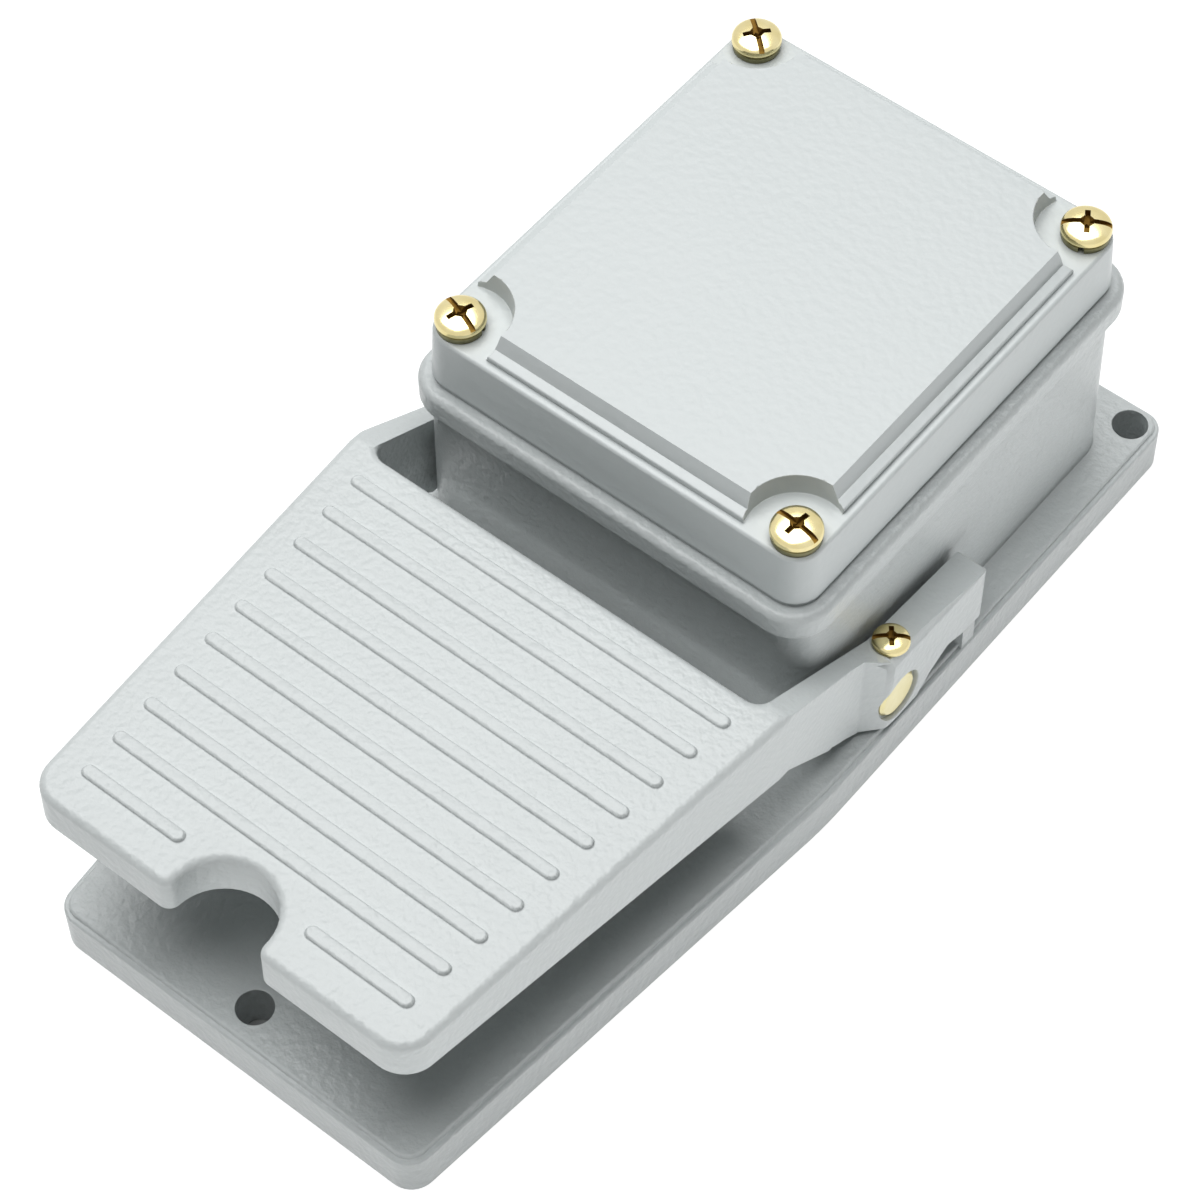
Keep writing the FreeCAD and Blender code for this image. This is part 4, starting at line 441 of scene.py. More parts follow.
# Pale gold disc with a soft bloom, the turned end of the shaft.
SHAFT_ZINC = metal("yellow_zinc_on_turned_steel", ("E4DDB8", "D2C68C"), 0.30, 4.0, 0.3, 0.004)
# Brown and porous, a matt warm ring.
SINTERED_BRONZE = metal("sintered_bronze", ("A77B48", "8C6236"), 0.48, 1.5, 0.25, 0.012)
# Cool grey shine of small new screws.
ZINC_STEEL = metal("bright_zinc_on_steel", ("C6C8CA", "B2B5B8"), 0.30, 5.0, 0.4, 0.003)
# Grey sheet, streaked along its rolling direction.
ROLLED_STEEL = metal("rolled_steel", ("B9BBBD", "A5A8AB"), 0.36, 8.0, 0.5, 0.004, (1.0, 1.0, 0.1))
# Nearly black with a dim glint: the blackened grub screw's steel, and painted shade inside the small screws'
# drives.
BLACK_STEEL_AND_DRIVE_SHADE = metal("blackened_steel", ("2B2B2D", "1E1F21"), 0.40, 2.0, 0.3, 0.003)
# Clean bright wire, a light line on every turn.
SPRING_STEEL = metal("drawn_spring_wire", ("B4B6B8", "9C9EA1"), 0.22, 3.0, 0.3, 0.001)
# Yellow contact metal, fresh from the press.
TERMINAL_BRASS = metal("stamped_brass", ("DDB86A", "C79C4C"), 0.28, 4.0, 0.4, 0.002)
# Warm silver of the cable gland.
NICKEL_BRASS = metal("nickel_plate_on_brass", ("D5D1C6", "C3BFB4"), 0.24, 6.0, 0.4, 0.002)
print("eleven metals")

# %% [markdown]
# ## Rubber and moulded plastics
# The gasket and seals are black rubber, which is dull and a little uneven. The snap-action switch is moulded in
# dark phenolic, a filled thermoset with pale flecks, and its plunger in red-brown plastic. All three are
# dielectrics: a coloured body under a weak clear reflection.


# %% Rubber and plastics
def moulded(name, colours, roughness, fleck_mm, grain_depth_mm, ior):
    """Moulded rubber or plastic with a fleck in its colour and a grain from its mould."""
    material, tree = new_material(name)
    place = add_node(tree, "ShaderNodeTexCoord")
    flecks = add_node(
        tree,
        "ShaderNodeTexNoise",
        values={"Scale": 1 / (fleck_mm * MM), "Detail": 4.0, "Roughness": 0.65},
        links={"Vector": place.outputs["Object"]},
    )
    dullness = add_node(
        tree,
        "ShaderNodeMapRange",
        values={"To Min": roughness - 0.06, "To Max": roughness + 0.06},
        links={"Value": flecks.outputs["Fac"]},
    )
    bump = add_node(
        tree,
        "ShaderNodeBump",
        values={"Strength": 1.0, "Distance": grain_depth_mm * MM},
        links={"Height": flecks.outputs["Fac"]},
    )
    two_tone_surface(tree, colours, flecks, dullness, bump, {"IOR": ior})
    return material


# Dull black that swallows light.
BLACK_RUBBER = moulded("black_nitrile_rubber", ("1B1B1C", "2A2A2B"), 0.72, 0.8, 0.015, 1.52)
# A soft grey line between cover and box.
GASKET_RUBBER = moulded("pale_grey_silicone_rubber", ("A9AFAF", "B9BEBE"), 0.65, 0.8, 0.010, 1.43)
# Dark brown with pale flecks, hard and plain.
PHENOLIC = moulded("dark_phenolic", ("241F1C", "3A332E"), 0.42, 0.35, 0.004, 1.6)
# The one red-brown spot inside the box.
PLUNGER_PLASTIC = moulded("red_brown_acetal", ("7A2A1E", "8A3426"), 0.35, 1.0, 0.002, 1.48)
print("two rubbers, two plastics")

# %% [markdown]
# ## A home for every finish
# A CAD solid whose shape is already right only needs its finish, so a table says which finish each keeps. The
# pieces that get a more detailed stand-in further down are finished there.

# %% Finishes of the carried-over solids
KEPT = {
    "cover_gasket": GASKET_RUBBER,
    "shaft_seals": BLACK_RUBBER,
    "gland_seal": BLACK_RUBBER,
    "shaft_bushes": SINTERED_BRONZE,
    "drive_lever": ZINC_STEEL,
    "lever_grub_screw": BLACK_STEEL_AND_DRIVE_SHADE,
    "switch_bracket": ROLLED_STEEL,
    "switch_case": PHENOLIC,
    "switch_lid": PHENOLIC,
    "switch_plunger": PLUNGER_PLASTIC,
    "contact_blade": TERMINAL_BRASS,
    "common_terminal": TERMINAL_BRASS,
    "normally_open_terminal": TERMINAL_BRASS,
    "normally_closed_terminal": TERMINAL_BRASS,
    "earth_washer": TERMINAL_BRASS,
    "gland_body": NICKEL_BRASS,
    "gland_locknut": NICKEL_BRASS,
    "pivot_shaft": SHAFT_ZINC,
}
for node_name, finish in KEPT.items():
    slots = frame["nodes"][node_name].data.materials
    slots.clear()
    slots.append(finish)
print(len(KEPT), "solids keep their CAD shape")

# %% [markdown]
# ## The castings
# A die casting has no sharp edge: the mould is rounded, and the enamel rounds it further. The CAD solids have
# their large radii but meet sharply elsewhere. Modelling the castings again could round them, but a copy of the
# CAD mesh with a bevel is exact and quick. The copy's loose triangles are merged first, because a bevel can only
# follow edges that join. The bevel is about a third of a millimetre wide and draws the thin bright lines along
# every edge. Where a bevel would fold the thin faces beside an edge over each other, that edge is left as it is:
# the bevel is tried, the edges next to a fold are left out, and it is tried again.

# %% Edges of the castings
WELD = 0.002 * MM
FLAT_DEGREES = 0.3
FOLD_DEGREES = 130
ANY_DEGREES = 181
FOLD_REACH = 1.2
PROBE_STEP = 0.5 * MM
BEVEL_SEGMENTS = 2


def edges_between(shape, low_degrees, high_degrees=ANY_DEGREES, left_out=()):
    """Edges whose two faces meet at an angle in this range."""
    low, high = math.radians(low_degrees), math.radians(high_degrees)
    return [
        edge
        for edge in shape.edges
        if edge.is_manifold and edge.index not in left_out and low <= edge.calc_face_angle() < high
    ]


def round_edges(shape, width, crisp_degrees):
    """Bevelled copy of a shape, without the edges beside which the bevel would fold."""
    left_out = set()
    while True:
        trial = shape.copy()
        crisp = edges_between(trial, crisp_degrees, left_out=left_out)
        lines = [(edge.index, edge.verts[0].co.copy(), edge.verts[1].co.copy()) for edge in crisp]
        bmesh.ops.bevel(
            trial,
            geom=crisp,
            offset=width,
            segments=BEVEL_SEGMENTS,
            profile=0.5,
            affect="EDGES",
            clamp_overlap=False,
        )
        trial.normal_update()
        folds = [corner.co.copy() for edge in edges_between(trial, FOLD_DEGREES) for corner in edge.verts]
        near = KDTree(len(folds))
        for number, fold in enumerate(folds):
            near.insert(fold, number)
        near.balance()
        spoilt = set()
        for index, start, end in lines:
            steps = max(1, int((end - start).length / PROBE_STEP))
            places = [start.lerp(end, step / steps) for step in range(steps + 1)]
            if folds and min(near.find(place)[2] for place in places) < FOLD_REACH * width:
                spoilt.add(index)
        if not spoilt:
            return trial
        left_out |= spoilt
        trial.free()


# %% [markdown]
# ## Flat faces stay flat
# Plain smooth shading would streak the large flat faces, because it also bends the light near every rounding.
# So each corner takes the mean normal of the faces that meet there, and each face counts with the area of the
# whole flat region that it belongs to. Flat faces then look flat, and the roundings blend into them.


# %% Flat faces
def flat_regions(shape):
    """Area of the flat region around every face, by face index."""
    same_plane = math.cos(math.radians(FLAT_DEGREES))
    area = {}
    for first in shape.faces:
        if first.index in area:
            continue
        region = {first}
        border = [first]
        while border:
            for edge in border.pop().edges:
                for face in edge.link_faces:
                    fresh = face not in region and face.index not in area
                    if fresh and first.normal.dot(face.normal) > same_plane:
                        region.add(face)
                        border.append(face)
        whole = sum(face.calc_area() for face in region)
        area.update({face.index: whole for face in region})
    return area


def corner_normals(shape, crisp_degrees):
    """Normal of every face corner: mean of the faces that blend there, each with its region's area."""
    same_surface = math.cos(math.radians(crisp_degrees))
    area = flat_regions(shape)
    normals = []
    for face in shape.faces:
        for corner in face.loops:
            blend = Vector()
            for other in corner.vert.link_faces:
                if face.normal.dot(other.normal) > same_surface:
                    blend += other.normal * area[other.index]
            normals.append(blend.normalized() if blend.length else face.normal.copy())
    return normals


# %% [markdown]
# ## Three castings
# Each casting is such a copy with its own enamel and its own width of edge. A new piece has to say which body it
# moves with and which CAD solids it stands for.


# %% Castings
def piece_from_mesh(name, mesh, body, slot_name, *nodes):
    """Object for a finished mesh that stands for CAD nodes and rides on a body, if one is named."""
    piece = bpy.data.objects.new(name, mesh)
    bpy.context.scene.collection.objects.link(piece)
    if body:
        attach(piece, body)
    if nodes:
        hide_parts(*nodes)
    return piece


def casting(node_name, body, material, edge_mm, crisp_degrees):
    """Enamelled casting: the CAD shape with its sharp edges rounded."""
    mesh = frame["nodes"][node_name].data.copy()
    shape = bmesh.new()
    shape.from_mesh(mesh)
    bmesh.ops.remove_doubles(shape, verts=shape.verts, dist=WELD)
    flat_edges = edges_between(shape, 0, FLAT_DEGREES)
    bmesh.ops.dissolve_edges(shape, edges=flat_edges, use_verts=False, use_face_split=False)
    shape.edges.index_update()
    rounded = round_edges(shape, edge_mm * MM, crisp_degrees)
    bmesh.ops.triangulate(rounded, faces=[face for face in rounded.faces if len(face.verts) > 4])
    rounded.normal_update()
    rounded.faces.index_update()
    normals = corner_normals(rounded, crisp_degrees)
    volumes = [round(solid.calc_volume() / (10 * MM) ** 3, 2) for solid in (shape, rounded)]
    print(node_name, "volume in cm3, sharp and rounded:", volumes)
    rounded.to_mesh(mesh)
    rounded.free()
    shape.free()
    mesh.shade_smooth()
    mesh.normals_split_custom_set(normals)
    mesh.materials.clear()
    mesh.materials.append(material)
    return piece_from_mesh(node_name + "_enamelled", mesh, body, "cast_aluminium", node_name)


castings = [
    casting("base_housing", "housing", BASE_ENAMEL, 0.35, 40),
    casting("cover", "housing", COVER_ENAMEL, 0.3, 40),
    casting("pedal", "pedal", PEDAL_ENAMEL, 0.25, 50),
]
for piece in castings:
    print(piece.name, len(piece.data.polygons), "faces")

# %% [markdown]
# ## Pieces that grow from a tree
# Screws, washers and springs repeat in several sizes. A Geometry Nodes tree makes such a piece from its sizes, so
# all of them begin and end alike: named inputs first, and at the end copies on points, each with a turn of its
# own. The copies are made real, because an exported model drops instances, and then get their finish.


# %% Both ends of a tree
def new_tree(name, sizes, finishes=("Material",)):
    """Geometry tree with named inputs for its points, sizes and materials, and those inputs' sockets."""
    tree = bpy.data.node_groups.new(name, "GeometryNodeTree")
    tree.interface.new_socket("Geometry", in_out="INPUT", socket_type="NodeSocketGeometry")
    for size_name, default in sizes.items():
        kind = "NodeSocketInt" if isinstance(default, int) else "NodeSocketFloat"
        socket = tree.interface.new_socket(size_name, in_out="INPUT", socket_type=kind)
        socket.default_value = default
    for finish in finishes:
        tree.interface.new_socket(finish, in_out="INPUT", socket_type="NodeSocketMaterial")
    tree.interface.new_socket("Geometry", in_out="OUTPUT", socket_type="NodeSocketGeometry")
    return tree, tree.nodes.new("NodeGroupInput").outputs


def end_tree(tree, size, shape):
    """Ends a tree: copies of a shape on the input points, each with its own turn, made real and coated."""
    turn = add_node(tree, "GeometryNodeInputNamedAttribute", values={"Name": "turn"}, data_type="FLOAT_VECTOR")
    rotation = add_node(tree, "FunctionNodeEulerToRotation", links={0: turn.outputs[0]})
    copies = add_node(
        tree,
        "GeometryNodeInstanceOnPoints",
        links={"Points": size["Geometry"], "Instance": shape, "Rotation": rotation.outputs[0]},
    )
    real = add_node(tree, "GeometryNodeRealizeInstances", links={0: copies.outputs[0]})
    coat = {"Geometry": real.outputs[0], "Material": size["Material"]}
    if "Recess Material" in size:
        in_recess = add_node(tree, "GeometryNodeMaterialSelection", links={"Material": size["Recess Material"]})
        elsewhere = add_node(tree, "FunctionNodeBooleanMath", links={0: in_recess.outputs[0]}, operation="NOT")
        coat["Selection"] = elsewhere.outputs[0]
    coated = add_node(tree, "GeometryNodeSetMaterial", links=coat)
    add_node(tree, "NodeGroupOutput", links={0: coated.outputs[0]})
    print(tree.name, "tree:", len(tree.nodes), "nodes")


# %% [markdown]
# ## Pan-head screws
# The screws are steel with a domed pan head that takes a flat blade or a cross driver: a slot right across and
# a shorter, deeper cross. A lathe profile could make the dome, but a formula keeps it right at every size: a
# cylinder one unit wide is pushed into shape, where its top swells to the dome and its foot is tucked in a little.

# %% Screw head
SCREW_SIZES = {
    "Head Radius": 4.8 * MM,
    "Head Height": 2.8 * MM,
    "Thread Radius": 2.5 * MM,
    "Length": 25.0 * MM,
    "Pitch": 0.8 * MM,
    "Thread Steps": 180,
    "Slot Width": 1.05 * MM,
    "Slot Depth": 1.3 * MM,
    "Cross Length": 5.4 * MM,
}
DOME_SPREAD = 0.80
DOME_ROUNDNESS = 0.66
DOME_SHARE = 0.74
UNDERCUT = 0.90

screw_tree, size = new_tree("pan_head_screw", SCREW_SIZES, ("Material", "Recess Material"))
head = add_node(
    screw_tree,
    "GeometryNodeMeshCylinder",
    values={"Vertices": 48, "Side Segments": 1, "Fill Segments": 9, "Radius": 1.0, "Depth": 2.0},
    fill_type="TRIANGLE_FAN",
)
where = add_node(screw_tree, "GeometryNodeInputPosition")
parts = add_node(screw_tree, "ShaderNodeSeparateXYZ", links={0: where.outputs[0]})
flat = add_node(screw_tree, "ShaderNodeCombineXYZ", links={0: parts.outputs[0], 1: parts.outputs[1]})
share = add_node(screw_tree, VECTOR_MATH, links={0: flat.outputs[0]}, operation="LENGTH")
outwards = add_node(screw_tree, VECTOR_MATH, links={0: flat.outputs[0]}, operation="NORMALIZE")
angle = add_node(screw_tree, MATH, values={1: math.pi / 2}, links={0: share.outputs[1]}, operation="MULTIPLY")
sine = add_node(screw_tree, MATH, links={0: angle.outputs[0]}, operation="SINE")
cosine = add_node(screw_tree, MATH, links={0: angle.outputs[0]}, operation="COSINE")
cosine_up = add_node(screw_tree, MATH, values={1: 0.0}, links={0: cosine.outputs[0]}, operation="MAXIMUM")
spread = add_node(screw_tree, MATH, values={1: DOME_SPREAD}, links={0: sine.outputs[0]}, operation="POWER")
dome = add_node(screw_tree, MATH, values={1: DOME_ROUNDNESS}, links={0: cosine_up.outputs[0]}, operation="POWER")
on_top = add_node(screw_tree, MATH, values={1: 0.0}, links={0: parts.outputs[2]}, operation="GREATER_THAN")
tuck = add_node(
    screw_tree, "ShaderNodeMapRange", values={"To Min": UNDERCUT, "To Max": 1.0}, links={"Value": on_top.outputs[0]}
)
tucked = add_node(screw_tree, MATH, links={0: size["Head Radius"], 1: tuck.outputs[0]}, operation="MULTIPLY")
radius = add_node(screw_tree, MATH, links={0: spread.outputs[0], 1: tucked.outputs[0]}, operation="MULTIPLY")
dome_height, side_height = (
    add_node(screw_tree, MATH, values={1: part}, links={0: size["Head Height"]}, operation="MULTIPLY").outputs[0]
    for part in (DOME_SHARE, 1 - DOME_SHARE)
)
rise = add_node(
    screw_tree, MATH, links={0: dome.outputs[0], 1: dome_height, 2: side_height}, operation="MULTIPLY_ADD"
)
height = add_node(screw_tree, MATH, links={0: rise.outputs[0], 1: on_top.outputs[0]}, operation="MULTIPLY")
level = add_node(
    screw_tree, VECTOR_MATH, links={0: outwards.outputs[0], "Scale": radius.outputs[0]}, operation="SCALE"
)
lift = add_node(screw_tree, "ShaderNodeCombineXYZ", links={2: height.outputs[0]})
head_place = add_node(screw_tree, VECTOR_MATH, links={0: level.outputs[0], 1: lift.outputs[0]})
domed = add_node(
    screw_tree,
    "GeometryNodeSetPosition",
    links={"Geometry": head.outputs["Mesh"], "Position": head_place.outputs[0]},
)
print("screw head:", len(screw_tree.nodes), "nodes")

# %% [markdown]
# ## The drive
# A press punches the drive into the real head. Here a box cuts the slot, another the cross, and a cone with four
# sides the deep middle, where the two meet. Each is sunk into the head by a share of its own depth, and colours
# the faces it cuts darker: painted shade inside the drive.

# %% Screw drive
SLOT_REACH = 2.4
CROSS_DEPTH = 1.35
STAR_RADIUS = 0.36
STAR_TIP_RADIUS = 0.3 * MM
STAR_DEPTH = 1.7
STAR_OVERCUT = 1.08

star_radius = add_node(
    screw_tree, MATH, values={1: STAR_RADIUS}, links={0: size["Cross Length"]}, operation="MULTIPLY"
)
star_depth = add_node(screw_tree, MATH, values={1: STAR_DEPTH}, links={0: size["Slot Depth"]}, operation="MULTIPLY")
star_tall = add_node(
    screw_tree, MATH, values={1: STAR_OVERCUT}, links={0: star_depth.outputs[0]}, operation="MULTIPLY"
)
star = add_node(
    screw_tree,
    "GeometryNodeMeshCone",
    values={"Vertices": 4, "Radius Bottom": STAR_TIP_RADIUS},
    links={"Radius Top": star_radius.outputs[0], "Depth": star_tall.outputs[0]},
)
cross_depth = add_node(
    screw_tree, MATH, values={1: CROSS_DEPTH}, links={0: size["Slot Depth"]}, operation="MULTIPLY"
)
cross_size = add_node(
    screw_tree,
    "ShaderNodeCombineXYZ",
    links={0: size["Slot Width"], 1: size["Cross Length"], 2: cross_depth.outputs[0]},
)
cross = add_node(screw_tree, "GeometryNodeMeshCube", links={"Size": cross_size.outputs[0]})
slot_length = add_node(
    screw_tree, MATH, values={1: SLOT_REACH}, links={0: size["Head Radius"]}, operation="MULTIPLY"
)
slot_size = add_node(
    screw_tree,
    "ShaderNodeCombineXYZ",
    links={0: slot_length.outputs[0], 1: size["Slot Width"], 2: size["Slot Depth"]},
)
slot = add_node(screw_tree, "GeometryNodeMeshCube", links={"Size": slot_size.outputs[0]})

cutters = []
for cutter, depth, sunk in (
    (star, star_depth.outputs[0], 1.0),
    (cross, cross_depth.outputs[0], 0.45),
    (slot, size["Slot Depth"], 0.42),
):
    below_top = add_node(screw_tree, MATH, values={1: sunk}, links={0: depth}, operation="MULTIPLY")
    cutter_height = add_node(
        screw_tree, MATH, links={0: size["Head Height"], 1: below_top.outputs[0]}, operation="SUBTRACT"
    )
    cutter_place = add_node(screw_tree, "ShaderNodeCombineXYZ", links={2: cutter_height.outputs[0]})
    sunk_cutter = add_node(
        screw_tree,
        "GeometryNodeTransform",
        links={"Geometry": cutter.outputs["Mesh"], "Translation": cutter_place.outputs[0]},
    )
    cutters.append(
        add_node(
            screw_tree,
            "GeometryNodeSetMaterial",
            links={"Geometry": sunk_cutter.outputs[0], "Material": size["Recess Material"]},
        )
    )
driven = add_node(
    screw_tree,
    "GeometryNodeMeshBoolean",
    links={"Mesh 1": domed.outputs[0]},
    operation="DIFFERENCE",
    solver="EXACT",
)
for cutter in cutters:
    screw_tree.links.new(cutter.outputs[0], driven.inputs["Mesh 2"])
print("screw drive:", len(cutters), "cutters")

# %% [markdown]
# ## The thread
# A thread is a groove that climbs by one pitch per turn. A second cylinder, cut into many thin rings, is pulled
# in by how far each point lies from the crest that winds past it, which gives a true helix.

# %% Screw thread
shank = add_node(
    screw_tree,
    "GeometryNodeMeshCylinder",
    values={"Vertices": 20},
    links={"Side Segments": size["Thread Steps"], "Radius": size["Thread Radius"], "Depth": size["Length"]},
    fill_type="NGON",
)
round_angle = add_node(screw_tree, MATH, links={0: parts.outputs[1], 1: parts.outputs[0]}, operation="ARCTAN2")
turns_round = add_node(
    screw_tree, MATH, values={1: 2 * math.pi}, links={0: round_angle.outputs[0]}, operation="DIVIDE"
)
turns_along = add_node(screw_tree, MATH, links={0: parts.outputs[2], 1: size["Pitch"]}, operation="DIVIDE")
phase = add_node(
    screw_tree, MATH, links={0: turns_along.outputs[0], 1: turns_round.outputs[0]}, operation="SUBTRACT"
)
valley = add_node(screw_tree, MATH, values={1: 0.5}, links={0: phase.outputs[0]}, operation="PINGPONG")
cut_depth = add_node(screw_tree, MATH, links={0: valley.outputs[0], 1: size["Pitch"]}, operation="MULTIPLY")
inwards = add_node(screw_tree, MATH, values={1: -1.0}, links={0: cut_depth.outputs[0]}, operation="MULTIPLY")
thread_move = add_node(
    screw_tree, VECTOR_MATH, links={0: outwards.outputs[0], "Scale": inwards.outputs[0]}, operation="SCALE"
)
threaded = add_node(
    screw_tree,
    "GeometryNodeSetPosition",
    links={"Geometry": shank.outputs["Mesh"], "Offset": thread_move.outputs[0]},
)
half_length = add_node(screw_tree, MATH, values={1: -0.5}, links={0: size["Length"]}, operation="MULTIPLY")
shank_place = add_node(screw_tree, "ShaderNodeCombineXYZ", links={2: half_length.outputs[0]})
lowered = add_node(
    screw_tree,
    "GeometryNodeTransform",
    links={"Geometry": threaded.outputs[0], "Translation": shank_place.outputs[0]},
)
whole = add_node(screw_tree, "GeometryNodeJoinGeometry")
screw_tree.links.new(driven.outputs["Mesh"], whole.inputs[0])
screw_tree.links.new(lowered.outputs[0], whole.inputs[0])
end_tree(screw_tree, size, whole.outputs[0])

# %% [markdown]
# ## From a tree to a piece
# The tree runs as a modifier on a few points. Each point keeps the turn of its copy in an attribute. The
# modifier's result is turned into a plain mesh, and edges sharper than 35 degrees stay crisp while the rest are
# shaded smooth.


# %% Tree runner
SHARP_DEGREES = 35


def grown_mesh(tree, points, turns, inputs):
    """Plain mesh that a tree makes on points, with a turn (Euler angles) at each."""
    seeds = bpy.data.meshes.new(tree.name + "_points")
    seeds.from_pydata([tuple(point) for point in points], [], [])
    attribute = seeds.attributes.new("turn", "FLOAT_VECTOR", "POINT")
    attribute.data.foreach_set("vector", [value for turned in turns for value in turned])
    holder = bpy.data.objects.new(tree.name + "_holder", seeds)
    bpy.context.scene.collection.objects.link(holder)
    modifier = holder.modifiers.new("tree", "NODES")
    modifier.node_group = tree
    for item in tree.interface.items_tree:
        if item.in_out == "INPUT" and item.name in inputs:
            modifier[item.identifier] = inputs[item.name]
    graph = bpy.context.evaluated_depsgraph_get()
    mesh = bpy.data.meshes.new_from_object(holder.evaluated_get(graph), depsgraph=graph)
    bpy.data.objects.remove(holder)
    mesh.shade_smooth()
    mesh.set_sharp_from_angle(angle=math.radians(SHARP_DEGREES))
    return mesh


def turned(tilt, turn):
    """Euler angles of a screw that first turns on its own axis and then tilts about X (degrees)."""
    tilting = Matrix.Rotation(math.radians(tilt), 3, "X")
    turning = Matrix.Rotation(math.radians(turn), 3, "Z")
    return tuple((tilting @ turning).to_euler())


def solids_of(node_name):
    """Lowest and highest corner of every separate solid of a CAD node, from left to right."""
    shape = bmesh.new()
    shape.from_mesh(frame["nodes"][node_name].data)
    bmesh.ops.remove_doubles(shape, verts=shape.verts, dist=WELD)
    left = set(shape.verts)
    boxes = []
    while left:
        solid = [left.pop()]
        for vert in solid:
            for edge in vert.link_edges:
                for other in edge.verts:
                    if other in left:
                        left.remove(other)
                        solid.append(other)
        low = Vector([min(vert.co[axis] for vert in solid) for axis in range(3)])
        high = Vector([max(vert.co[axis] for vert in solid) for axis in range(3)])
        boxes.append((low, high))
    shape.free()
    return sorted(boxes, key=lambda box: (round(box[0].x, 4), round(box[0].y, 4)))


def head_seats(node_name, head_height, lying=False):
    """Where the heads of a node's screws sit, and the screws' length. Lying screws have their heads towards -Y."""
    seats = []
    for low, high in solids_of(node_name):
        seat = (low + high) / 2
        if lying:
            seat.y = low.y + head_height
            length = high.y - low.y
        else:
            seat.z = high.z - head_height
            length = high.z - low.z
        seats.append(seat)
    return seats, length


# %% [markdown]
# ## The cover's four screws
# They are the brightest spots of the object. Read from the photograph, their slots point four different ways.

# %% Cover screws
COVER_TURNS = [-19, -40, -6, 32]
COVER_HEAD_HEIGHT = 2.8 * MM
COVER_SHANK_LENGTH = 24.9 * MM
cover_seats, _ = head_seats("cover_screws", COVER_HEAD_HEIGHT)
cover_screw_mesh = grown_mesh(
    screw_tree,
    cover_seats,
    [turned(0, turn) for turn in COVER_TURNS],
    # The drive's dark brown is painted shade.
    {"Length": COVER_SHANK_LENGTH, "Material": YELLOW_ZINC, "Recess Material": DRIVE_SHADE_ZINC},
)
piece_from_mesh("cover_screws_slotted", cover_screw_mesh, "housing", "yellow_zinc", "cover_screws")
print("cover screws:", len(cover_seats), "heads,", len(cover_screw_mesh.polygons), "faces")

# %% [markdown]
# ## Split washers
# Under each head lies a split spring washer: a square wire bent to a ring, with a gap. An arc with a small
# rounded rectangle swept along it has just that shape. Each washer's gap points its own way.

# %% Washers
WASHER_SIZES = {
    "Middle Radius": 3.57 * MM,
    "Wire Width": 2.0 * MM,
    "Wire Height": 1.2 * MM,
    "Sweep": math.radians(347),
}
WASHER_TURNS = [20, 75, 150, -60]
washer_tree, size = new_tree("split_washer", WASHER_SIZES)
ring = add_node(
    washer_tree,
    "GeometryNodeCurveArc",
    values={"Resolution": 64},
    links={"Radius": size["Middle Radius"], "Sweep Angle": size["Sweep"]},
    mode="RADIUS",
)
upright = add_node(washer_tree, "GeometryNodeSetCurveNormal", links={"Curve": ring.outputs["Curve"]}, mode="Z_UP")
wire = add_node(
    washer_tree,
    "GeometryNodeCurvePrimitiveQuadrilateral",
    links={"Width": size["Wire Width"], "Height": size["Wire Height"]},
)
wire_rounded = add_node(
    washer_tree,
    "GeometryNodeFilletCurve",
    values={"Radius": 0.15 * MM, "Count": 2},
    links={"Curve": wire.outputs["Curve"]},
    mode="POLY",
)
swept = add_node(
    washer_tree,
    "GeometryNodeCurveToMesh",
    values={"Fill Caps": True},
    links={"Curve": upright.outputs[0], "Profile Curve": wire_rounded.outputs[0]},
)
end_tree(washer_tree, size, swept.outputs[0])

washer_low, washer_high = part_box("cover_spring_washers")
washer_z = (washer_low.z + washer_high.z) / 2
washer_mesh = grown_mesh(
    washer_tree,
    [Vector((seat.x, seat.y, washer_z)) for seat in cover_seats],
    [turned(0, turn) for turn in WASHER_TURNS],
    # The washers' dull olive is the heads' painted shadow.
    {"Material": HEAD_SHADOW_ZINC},
)
piece_from_mesh("cover_washers_split", washer_mesh, "housing", "yellow_zinc", "cover_spring_washers")
washer_heights = [vert.co.z / MM for vert in washer_mesh.vertices]
print("washers from z", round(min(washer_heights), 2), "to", round(max(washer_heights), 2), "mm")

# %% [markdown]
# ## Lock screws of the shaft
# One stands on each arm, square to the arm's top, which leans with the pedal.

# %% Lock screws
LOCK_HEAD_RADIUS = 3.6 * MM
LOCK_HEAD_HEIGHT = 2.4 * MM
LOCK_END_GAP = 0.1 * MM
LOCK_TURNS = [24, 38]
PEDAL_TILT = 1.75
lean = math.radians(PEDAL_TILT)
lock_seats = []
for low, high in solids_of("shaft_lock_screws"):
    seat_z = high.z - LOCK_HEAD_HEIGHT - LOCK_HEAD_RADIUS * math.sin(lean)
    lock_seats.append(Vector(((low.x + high.x) / 2, low.y + LOCK_HEAD_RADIUS * math.cos(lean), seat_z)))
lock_low, lock_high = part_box("shaft_lock_screws")
lock_mesh = grown_mesh(
    screw_tree,
    lock_seats,
    [turned(-PEDAL_TILT, turn) for turn in LOCK_TURNS],
    {
        "Head Radius": LOCK_HEAD_RADIUS,
        "Head Height": LOCK_HEAD_HEIGHT,
        "Thread Radius": 2.0 * MM,
        "Length": lock_high.z - lock_low.z - LOCK_HEAD_HEIGHT - LOCK_END_GAP,
        "Pitch": 0.7 * MM,
        "Thread Steps": 90,
        "Slot Width": 0.95 * MM,
        "Slot Depth": 1.1 * MM,
        "Cross Length": 4.4 * MM,
        "Material": YELLOW_ZINC,
        # The drive's dark brown is painted shade.
        "Recess Material": DRIVE_SHADE_ZINC,
    },
)
piece_from_mesh("lock_screws_slotted", lock_mesh, "pedal", "yellow_zinc", "shaft_lock_screws")
print("lock screws at x =", [round(seat.x / MM, 2) for seat in lock_seats], "mm")

# %% [markdown]
# ## Screws inside the box
# The same tree makes the small zinc-plated screws that hold the bracket, the switch, its wires and the earth
# wire. Three kinds stand upright. The switch's two long screws lie along Y, with their heads towards the toe.

